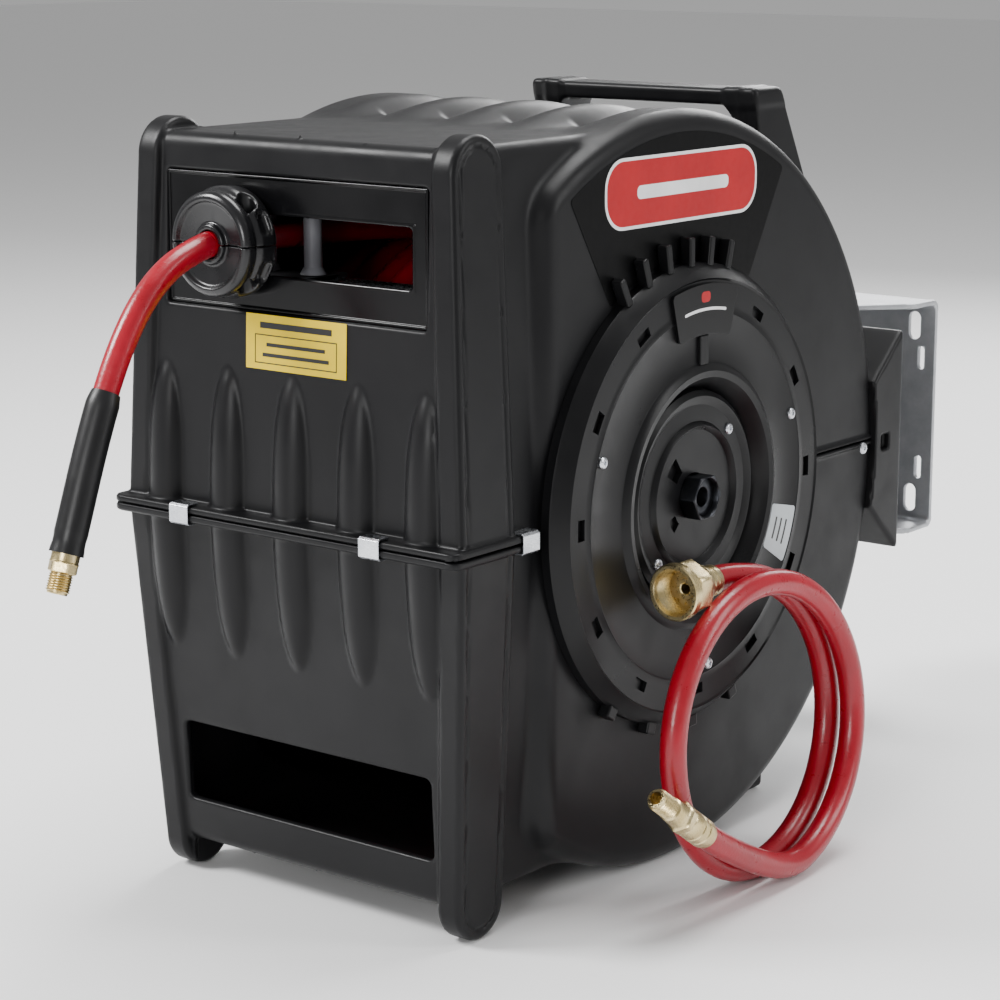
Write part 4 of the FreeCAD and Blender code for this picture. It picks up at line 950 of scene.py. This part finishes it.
def make_cover(side):
    """A side cover with its slots and tabs, and the hub cap in its middle."""
    word = WORDS[side]
    radii = [
        66.2, 67.2, 70.0, 73.5, 77.5, 80.5, 82.5, 84, 112, 113, 114, 132.2, 133.4, 134.6, 141.2, 142, 142.05,
    ]
    heights = [5.0, 6.2, 12.4, 17.0, 17.8, 16.6, 14.4, 14, 14, 14.5, 14.0, 14.0, 14.9, 13.8, 7.2, 6.0, 0.35]
    recesses = [
        (SLOT_R - SLOT_HALF_R, SLOT_R + SLOT_HALF_R, a - SLOT_HALF_ANGLE, a + SLOT_HALF_ANGLE, 3.0)
        for a in SLOT_ANGLES if not (side > 0 and a == 90)
    ]
    cover = polar_piece(f"cover_{word}", side, radii, heights, range(0, 360, 2), recesses)
    sharpen(cover, 28)
    extras = [small_box("t", side, 149, a, (18, 5.5, 8), 8.5, 1.2) for a in (75, 83, 91, 100, 109, 118)]
    extras += [small_box("t", side, 144, a, (8, 9, 8), 8.5, 1.2) for a in (236, 254, 272, 290)]
    extras.append(small_box("t", side, 90.5, 90, (18, 9, 4), 16.2, 0.7))
    cover = joined(f"cover_{word}", [cover, *extras])
    finish_piece(cover, "case", "cover_plastic", [f"side_cover_{word}"])

    radii = [13.9, 14.4, 20, 40.5, 41.6, 43.4, 44.6, 46.0, 56.0, 60.0, 61.4, 64.6, 65.8]
    heights = [8.6, 9.0, 9.0, 9.0, 10.6, 12.2, 11.4, 9.4, 9.0, 11.0, 11.2, 8.8, 4.0]
    pockets = [(20, 32, 126, 150, 4), (21, 28, 206, 226, 2.5)]
    cap = polar_piece(f"hub_{word}", side, radii, heights, range(0, 360, 3), pockets)
    sharpen(cap, 28)
    finish_piece(cap, "case", "cover_plastic", [f"hub_cap_{word}"])


def band_outline(inner, outer, middle, half_angle, corner):
    """A strip round the drum axis with rounded corners, as (radius, angle in radians) pairs."""
    corner_steps, arc_steps = 6, 26
    points = []
    corners = [
        (outer - corner, middle + half_angle), (outer - corner, middle - half_angle),
        (inner + corner, middle - half_angle), (inner + corner, middle + half_angle),
    ]
    for quarter, (radius, angle) in enumerate(corners):
        sign = -1 if quarter in (0, 3) else 1
        centre_angle = math.radians(angle) + sign * corner / radius
        for i in range(corner_steps + 1):
            turn = quarter * math.pi / 2 + math.pi / 2 * i / corner_steps
            across, outward = math.cos(turn), math.sin(turn)
            points.append((radius + corner * outward, centre_angle + corner * across / radius))
        if quarter in (0, 2):
            low = points[-1][1]
            way = 1 if quarter == 0 else -1
            high = math.radians(middle - way * half_angle) + (corner / radius) * way
            for i in range(1, arc_steps):
                points.append((points[-1][0], low + (high - low) * i / arc_steps))
    return points


def side_band(name, side, inner, outer, middle, half_angle, height, thick, material, corner=2.0, replaces=()):
    """A printed or moulded strip on a side of the case."""
    outline = band_outline(inner, outer, middle, half_angle, corner)

    def to_frame(radius, angle, depth):
        return side_point(side, height + depth, radius, angle)

    strip = plate(name, outline, thick, to_frame, 0.15)
    return finish_piece(strip, "case", material, replaces)


def make_side_prints(side):
    """The dark decal over a cover, and its badge: a red lozenge with a white edge and bar."""
    word = WORDS[side]
    side_band(f"decal_{word}", side, 144, 220.5, 91, 30.5, 0.08, 0.3, "decal", 3, [f"side_decal_{word}"])
    badge_z = 422.0
    for name, wide, tall, lift, thick, material in (
        (f"badge_edge_{word}", 160, 42, 0.30, 0.16, "white_print"),
        (f"badge_{word}", 156, 38, 0.38, 0.18, "red_print"),
        (f"badge_bar_{word}", 96, 8, 0.52, 0.14, "white_print"),
    ):
        def to_frame(u, v, depth, lift=lift):
            return (side * (SIDE_X + lift + depth), AXIS_Y - 2 + u, badge_z + v)

        piece = plate(name, rounded_outline(wide, tall, 0.42 * tall), thick, to_frame, 0.05)
        finish_piece(piece, "case", material)


def rounded_outline(wide, tall, corner):
    """A rectangle about the origin with round corners."""
    points = []
    for quarter in range(4):
        middle_u = (wide / 2 - corner) * (1 if quarter in (0, 3) else -1)
        middle_v = (tall / 2 - corner) * (1 if quarter in (0, 1) else -1)
        for step in range(9):
            turn = math.pi / 2 * (quarter + step / 8)
            points.append((middle_u + corner * math.cos(turn), middle_v + corner * math.sin(turn)))
    return points


def make_labels():
    """Plaque and grey label on the right-hand cover, and the yellow label on the front: all without words."""
    side_band("plaque", RIGHT, 100, 130.5, 90, 15.5, COVER_FLAT, 2.4, "bezel_plastic", 3, ["name_plaque"])
    side_band("plaque_line", RIGHT, 114.4, 116.2, 90, 11, PLAQUE_FACE, 0.15, "white_print", 0.7)
    side_band("plaque_dot", RIGHT, 119.5, 126, 90, 2.2, PLAQUE_FACE, 0.15, "red_print", 2.5)
    side_band("grey_label", RIGHT, 84.5, 112, -22, 9.5, COVER_FLAT, 0.35, "grey_label", 2, ["rating_label"])
    for i, radius in enumerate((91, 97, 103)):
        bar = f"grey_label_bar_{i}"
        side_band(bar, RIGHT, radius, radius + 1.8, -22, 4.5, 14.33, 0.12, "black_print", 0.5)

    lean = math.atan2(TOP_LEAN, BOX_TOP_Z - PARTING_Z)
    label_z = 324
    low = Vector((-35, PANEL_Y + TOP_LEAN * (label_z - PARTING_Z) / (BOX_TOP_Z - PARTING_Z), label_z))
    right, up = Vector((1, 0, 0)), Vector((0, math.sin(lean), math.cos(lean)))
    out = right.cross(up)

    def front_plate(name, u0, v0, width, height, lift, thick, material, replaces=()):
        def to_frame(u, v, depth):
            return low + right * u + up * v + out * (lift + depth)

        outline = [(u0, v0), (u0 + width, v0), (u0 + width, v0 + height), (u0, v0 + height)]
        piece = plate(name, outline, thick, to_frame, 0.1)
        return finish_piece(piece, "case", material, replaces)

    front_plate("yellow_plate", 0, 0, 77, 32, 0.1, 0.4, "yellow_label", ["caution_label"])
    edge = 0.7
    box_u, box_v, box_wide, box_tall = 7, 3.5, 63, 17
    bars = [
        (box_u, box_v, box_wide, edge), (box_u, box_v + box_tall - edge, box_wide, edge),
        (box_u, box_v, edge, box_tall), (box_u + box_wide - edge, box_v, edge, box_tall),
        (11, 24, 55, 3.6), (16, 13.6, 45, 2.2), (13, 7.6, 51, 2.2),
    ]
    for i, (u0, v0, width, height) in enumerate(bars):
        front_plate(f"yellow_plate_bar_{i}", u0, v0, width, height, 0.48, 0.1, "black_print")


def screw_head(name, at, direction, radius, height):
    """A pan head with a round recess."""
    profile = [(0, radius), (height * 0.45, radius), (height * 0.8, radius * 0.86), (height, radius * 0.55)]
    profile += [(height, radius * 0.34), (height * 0.55, radius * 0.3)]
    return lathe(name, at, direction, profile, 32)


def make_screws():
    """Screw heads on the side covers, on the rear block's ends and in the stop's pockets."""
    heads = []
    for side in (RIGHT, LEFT):
        spots = [(108, angle, COVER_FLAT) for angle in (-84, 20, 160)]
        spots += [(52, angle, HUB_FLAT) for angle in (44, 224)]
        for i, (radius, angle, height) in enumerate(spots):
            at = side_point(side, height, radius, math.radians(angle))
            heads.append(screw_head(f"s{side}{i}", at, (side, 0, 0), 3.6, 2.2))
        heads.append(screw_head(f"b{side}", (side * 129.6, 146, 231), (side, 0, 0), 4.0, 2.2))
    finish_piece(joined("cover_screw_heads", heads), "case", "zinc_steel", ["cover_screws"])
    heads = []
    for i, side in enumerate((-STOP_SCREW_X, STOP_SCREW_X)):
        heads.append(screw_head(f"h{i}", (HOSE_X + side, STOP_SCREW_Y, HOSE_Z + 14), (0, 0, 1), 3.4, 3.0))
    finish_piece(joined("stop_screw_heads", heads), "carriage", "zinc_steel", ["stop_screws"])


def make_clips():
    """Bright spring clips, C-shaped in section, that grip the parting lip."""
    clips = []

    def clip(name, centre, outward, width=15):
        along = Vector((0, 0, 1)).cross(outward)
        leaf = [(-8, 6.4), (-8, 5.2), (-0.4, 5.2), (0.4, 4.6), (0.4, -4.6), (-0.4, -5.2), (-8, -5.2),
                (-8, -6.4), (0.0, -6.4), (1.6, -5.0), (1.6, 5.0), (0.0, 6.4)]
        points = [
            centre + outward * reach + along * across + Vector((0, 0, lift))
            for across in (-width / 2, width / 2) for reach, lift in leaf
        ]
        count = len(leaf)
        faces = [tuple(range(count)), tuple(range(2 * count - 1, count - 1, -1))]
        faces += [(i, (i + 1) % count, count + (i + 1) % count, count + i) for i in range(count)]
        piece = mesh_object(name, points, faces, smooth=False)
        mesh_fix_normals(piece)
        return apply_modifiers(bevel(piece, 0.35, 2))

    for x in (-76, 72):
        clips.append(clip("front_clip", Vector((x, LIP_Y - LIP_REACH, PARTING_Z)), Vector((0, -1, 0))))
    for side in (RIGHT, LEFT):
        clips.append(clip("side_clip", Vector((side * LIP_SIDE, -225, PARTING_Z)), Vector((side, 0, 0))))
    finish_piece(joined("seam_clips", clips), "case", "zinc_steel", ["lip_clips"])


# --- Bracket and inner parts ---


def block_distance(x, y, z):
    """Moulded block behind the drum: a wedge-sided body with a socket at each end and a bore for the pin."""
    top, foot, back = z - 307, 151 - z, y - 198
    wedge = np.maximum(top - back * 0.88, foot - back * 0.94)
    outline = soft_max(soft_max(np.maximum(top, foot), wedge, 5), back, 3)
    body = slab_distance(soft_max(outline, 132 - y, 3), np.abs(x) - 130, 3.5)
    radial = np.sqrt(x ** 2 + (y - PIVOT_Y) ** 2)
    boss = np.maximum(radial - 18, np.abs(z - BRACKET_Z) - 78)
    body = soft_min(body, boss, 3)
    socket = box_distance(np.abs(x), y, z, (133, 176, 231), (8, 5, 5), 1)
    body = soft_max(body, -socket, 1)
    return soft_max(soft_max(body, PIN_R + 0.2 - radial, 0.8), RIB_R - 8 - axis_distance(y, z), 1)


def bracket_distance(x, y, z):
    """Folded steel: a wall plate whose bent edges run forward and taper to the pivot ears."""
    wall_y, half_wide, ear_r = 300, 100, 18
    side = np.abs(x)
    height = np.abs(z - BRACKET_Z) - 83
    shell = soft_max(height, y - wall_y, 8)
    inner = soft_max(height + 4, y - wall_y + 4, 5)
    taper = side - np.clip(ear_r + (y - PIVOT_Y) * (half_wide - ear_r) / 87, 0, half_wide)
    taper = soft_max(taper * 0.72, side - half_wide, 4)
    radial = np.sqrt(x ** 2 + (y - PIVOT_Y) ** 2)
    outline = np.minimum(np.maximum(taper, PIVOT_Y - y), radial - ear_r)
    sheet = np.maximum(shell, -inner)
    steel = soft_max(soft_max(sheet, outline, 0.6), 150 - y, 1)
    for slot_x, rise, half_tall, slot_r in ((82, 63, 5.5, 4.5), (88, 40, 6, 2.4)):
        for slot_z in (BRACKET_Z - rise, BRACKET_Z + rise):
            ends = (slot_x, slot_z - half_tall), (slot_x, slot_z + half_tall)
            slot = capsule_distance(side, z, *ends, slot_r, slot_r)
            steel = soft_max(steel, -np.maximum(slot, wall_y - 10 - y), 0.5)
    return soft_max(steel, -(radial - PIN_R - 0.1), 0.5)


def make_moulded():
    """Every piece but the stop that is the zero surface of one distance: its box, cell size and share kept."""
    case_cell = 2.2
    for name, distance, low, high, cell, keep, body, material, node in (
        ("case_upper", upper_distance, (-135, -293, 233), (135, 173, 469), case_cell, 0.3,
         "case", "case_plastic", "upper_shell"),
        ("case_lower", lower_distance, (-135, -293, -1), (135, 173, 235), case_cell, 0.3,
         "case", "case_plastic", "lower_shell"),
        ("window_frame", bezel_distance, (-100, -273, 356), (100, -267, 436), 0.9, 0.12,
         "case", "bezel_plastic", "window_bezel"),
        ("carry_grip", handle_distance, (-91, 66, 398), (91, 138, 472), 1.5, 0.3,
         "case", "case_plastic", "carry_handle"),
        ("rear_block", block_distance, (-131, 131, 150), (131, 202, 308), 2.0, 0.3,
         "case", "case_plastic", "pivot_block"),
        ("steel_bracket", bracket_distance, (-101, 164, 145), (101, 301, 313), 1.8, 0.25,
         "bracket", "bracket_steel", "wall_bracket"),
    ):
        finish_piece(surface(name, distance, low, high, cell, keep), body, material, [node])


def make_pivot():
    """The bolt that the bracket turns on, and its nuts."""
    bolt_thread = (PIN_R, 1.5, 0.7)
    profile = [
        (0, 6.6), (0.8, 7.6), *thread(1.0, 8.0, *bolt_thread), (9.0, PIN_R), (175.0, PIN_R),
        *thread(176.0, 182.8, *bolt_thread), (184, 6.8),
    ]
    bolt = lathe("pivot_bolt", (0, PIVOT_Y, 137), (0, 0, 1), profile, 48)
    finish_piece(bolt, "bracket", "zinc_steel", ["pivot_pin"])
    profile = [(0, 10.5, 6, 11.6), (0.8, 11.4, 6, 13.0), (6.2, 11.4, 6, 13.0), (7.0, 10.5, 6, 11.6)]
    nuts = [lathe("nut", (0, PIVOT_Y, low_z), (0, 0, 1), profile, 48) for low_z in (139.0, 312.1)]
    finish_piece(joined("pivot_bolt_nuts", nuts), "bracket", "zinc_steel", ["pivot_nuts"])


def make_screw():
    """Reversing screw: two crossed grooves along a shaft with plain ends."""
    around, half, groove_half, lead = 48, 110.0, 84.0, 17.0
    screw_y, screw_z, screw_r = -234, 430, 8.0
    points = []
    for s in np.arange(-half, half + 0.01, 1.0):
        for j in range(around):
            angle = 2 * math.pi * j / around
            depth = 0.0
            if abs(s) < groove_half:
                for hand in (1, -1):
                    phase = (s / lead - hand * angle / (2 * math.pi)) % 1
                    depth = max(depth, 1.6 * math.exp(-(min(phase, 1 - phase) / 0.11) ** 2))
            radius = screw_r - depth
            points.append((s, screw_y + radius * math.cos(angle), screw_z + radius * math.sin(angle)))
    screw = skinned("reversing_screw", points, around)
    mesh_fix_normals(screw)
    finish_piece(screw, "screw", "zinc_steel", ["levelwind_screw"])


def dress_cad_nodes():
    """Materials, rounded edges and smooth shading for the CAD parts that stay."""
    rounded = {
        "carriage": 1.0, "screw_follower": 1.2, "pawl": 0.6, "ratchet_wheel": 0.4, "axle_nut": 0.8,
        "drum_flange_left": 1.0, "drum_flange_right": 1.0, "drum_pulley": 0.8, "screw_pulley": 0.8,
        "spring_arbor": 0.8, "inlet_swivel": 0.8, "axle": 0.5, "drum_core": 0.5, "pawl_pin": 0.5,
        "screw_bushes": 0.4, "drum_bushes": 0.4,
    }
    slots = {entry["node"]: entry["material_slot"] for entry in frame["record"]["subparts"]}
    for name, obj in frame["nodes"].items():
        if obj.hide_render:
            continue
        key = slots[name]
        obj.data.materials.clear()
        obj.data.materials.append(MATERIALS[key])
        obj.data.shade_smooth()
        if name in rounded:
            weld = obj.modifiers.new("weld", "WELD")
            weld.merge_threshold = 0.00001
            bevel(obj, rounded[name], 2, 40)
        else:
            obj.data.set_sharp_from_angle(angle=math.radians(35))


# --- Build ---

make_camera()
make_stage()
make_materials()
make_hoses()
make_pack()
make_moulded()
make_stop()
for case_side in (RIGHT, LEFT):
    make_cover(case_side)
    make_side_prints(case_side)
make_labels()
make_screws()
make_clips()
make_pivot()
make_screw()
dress_cad_nodes()
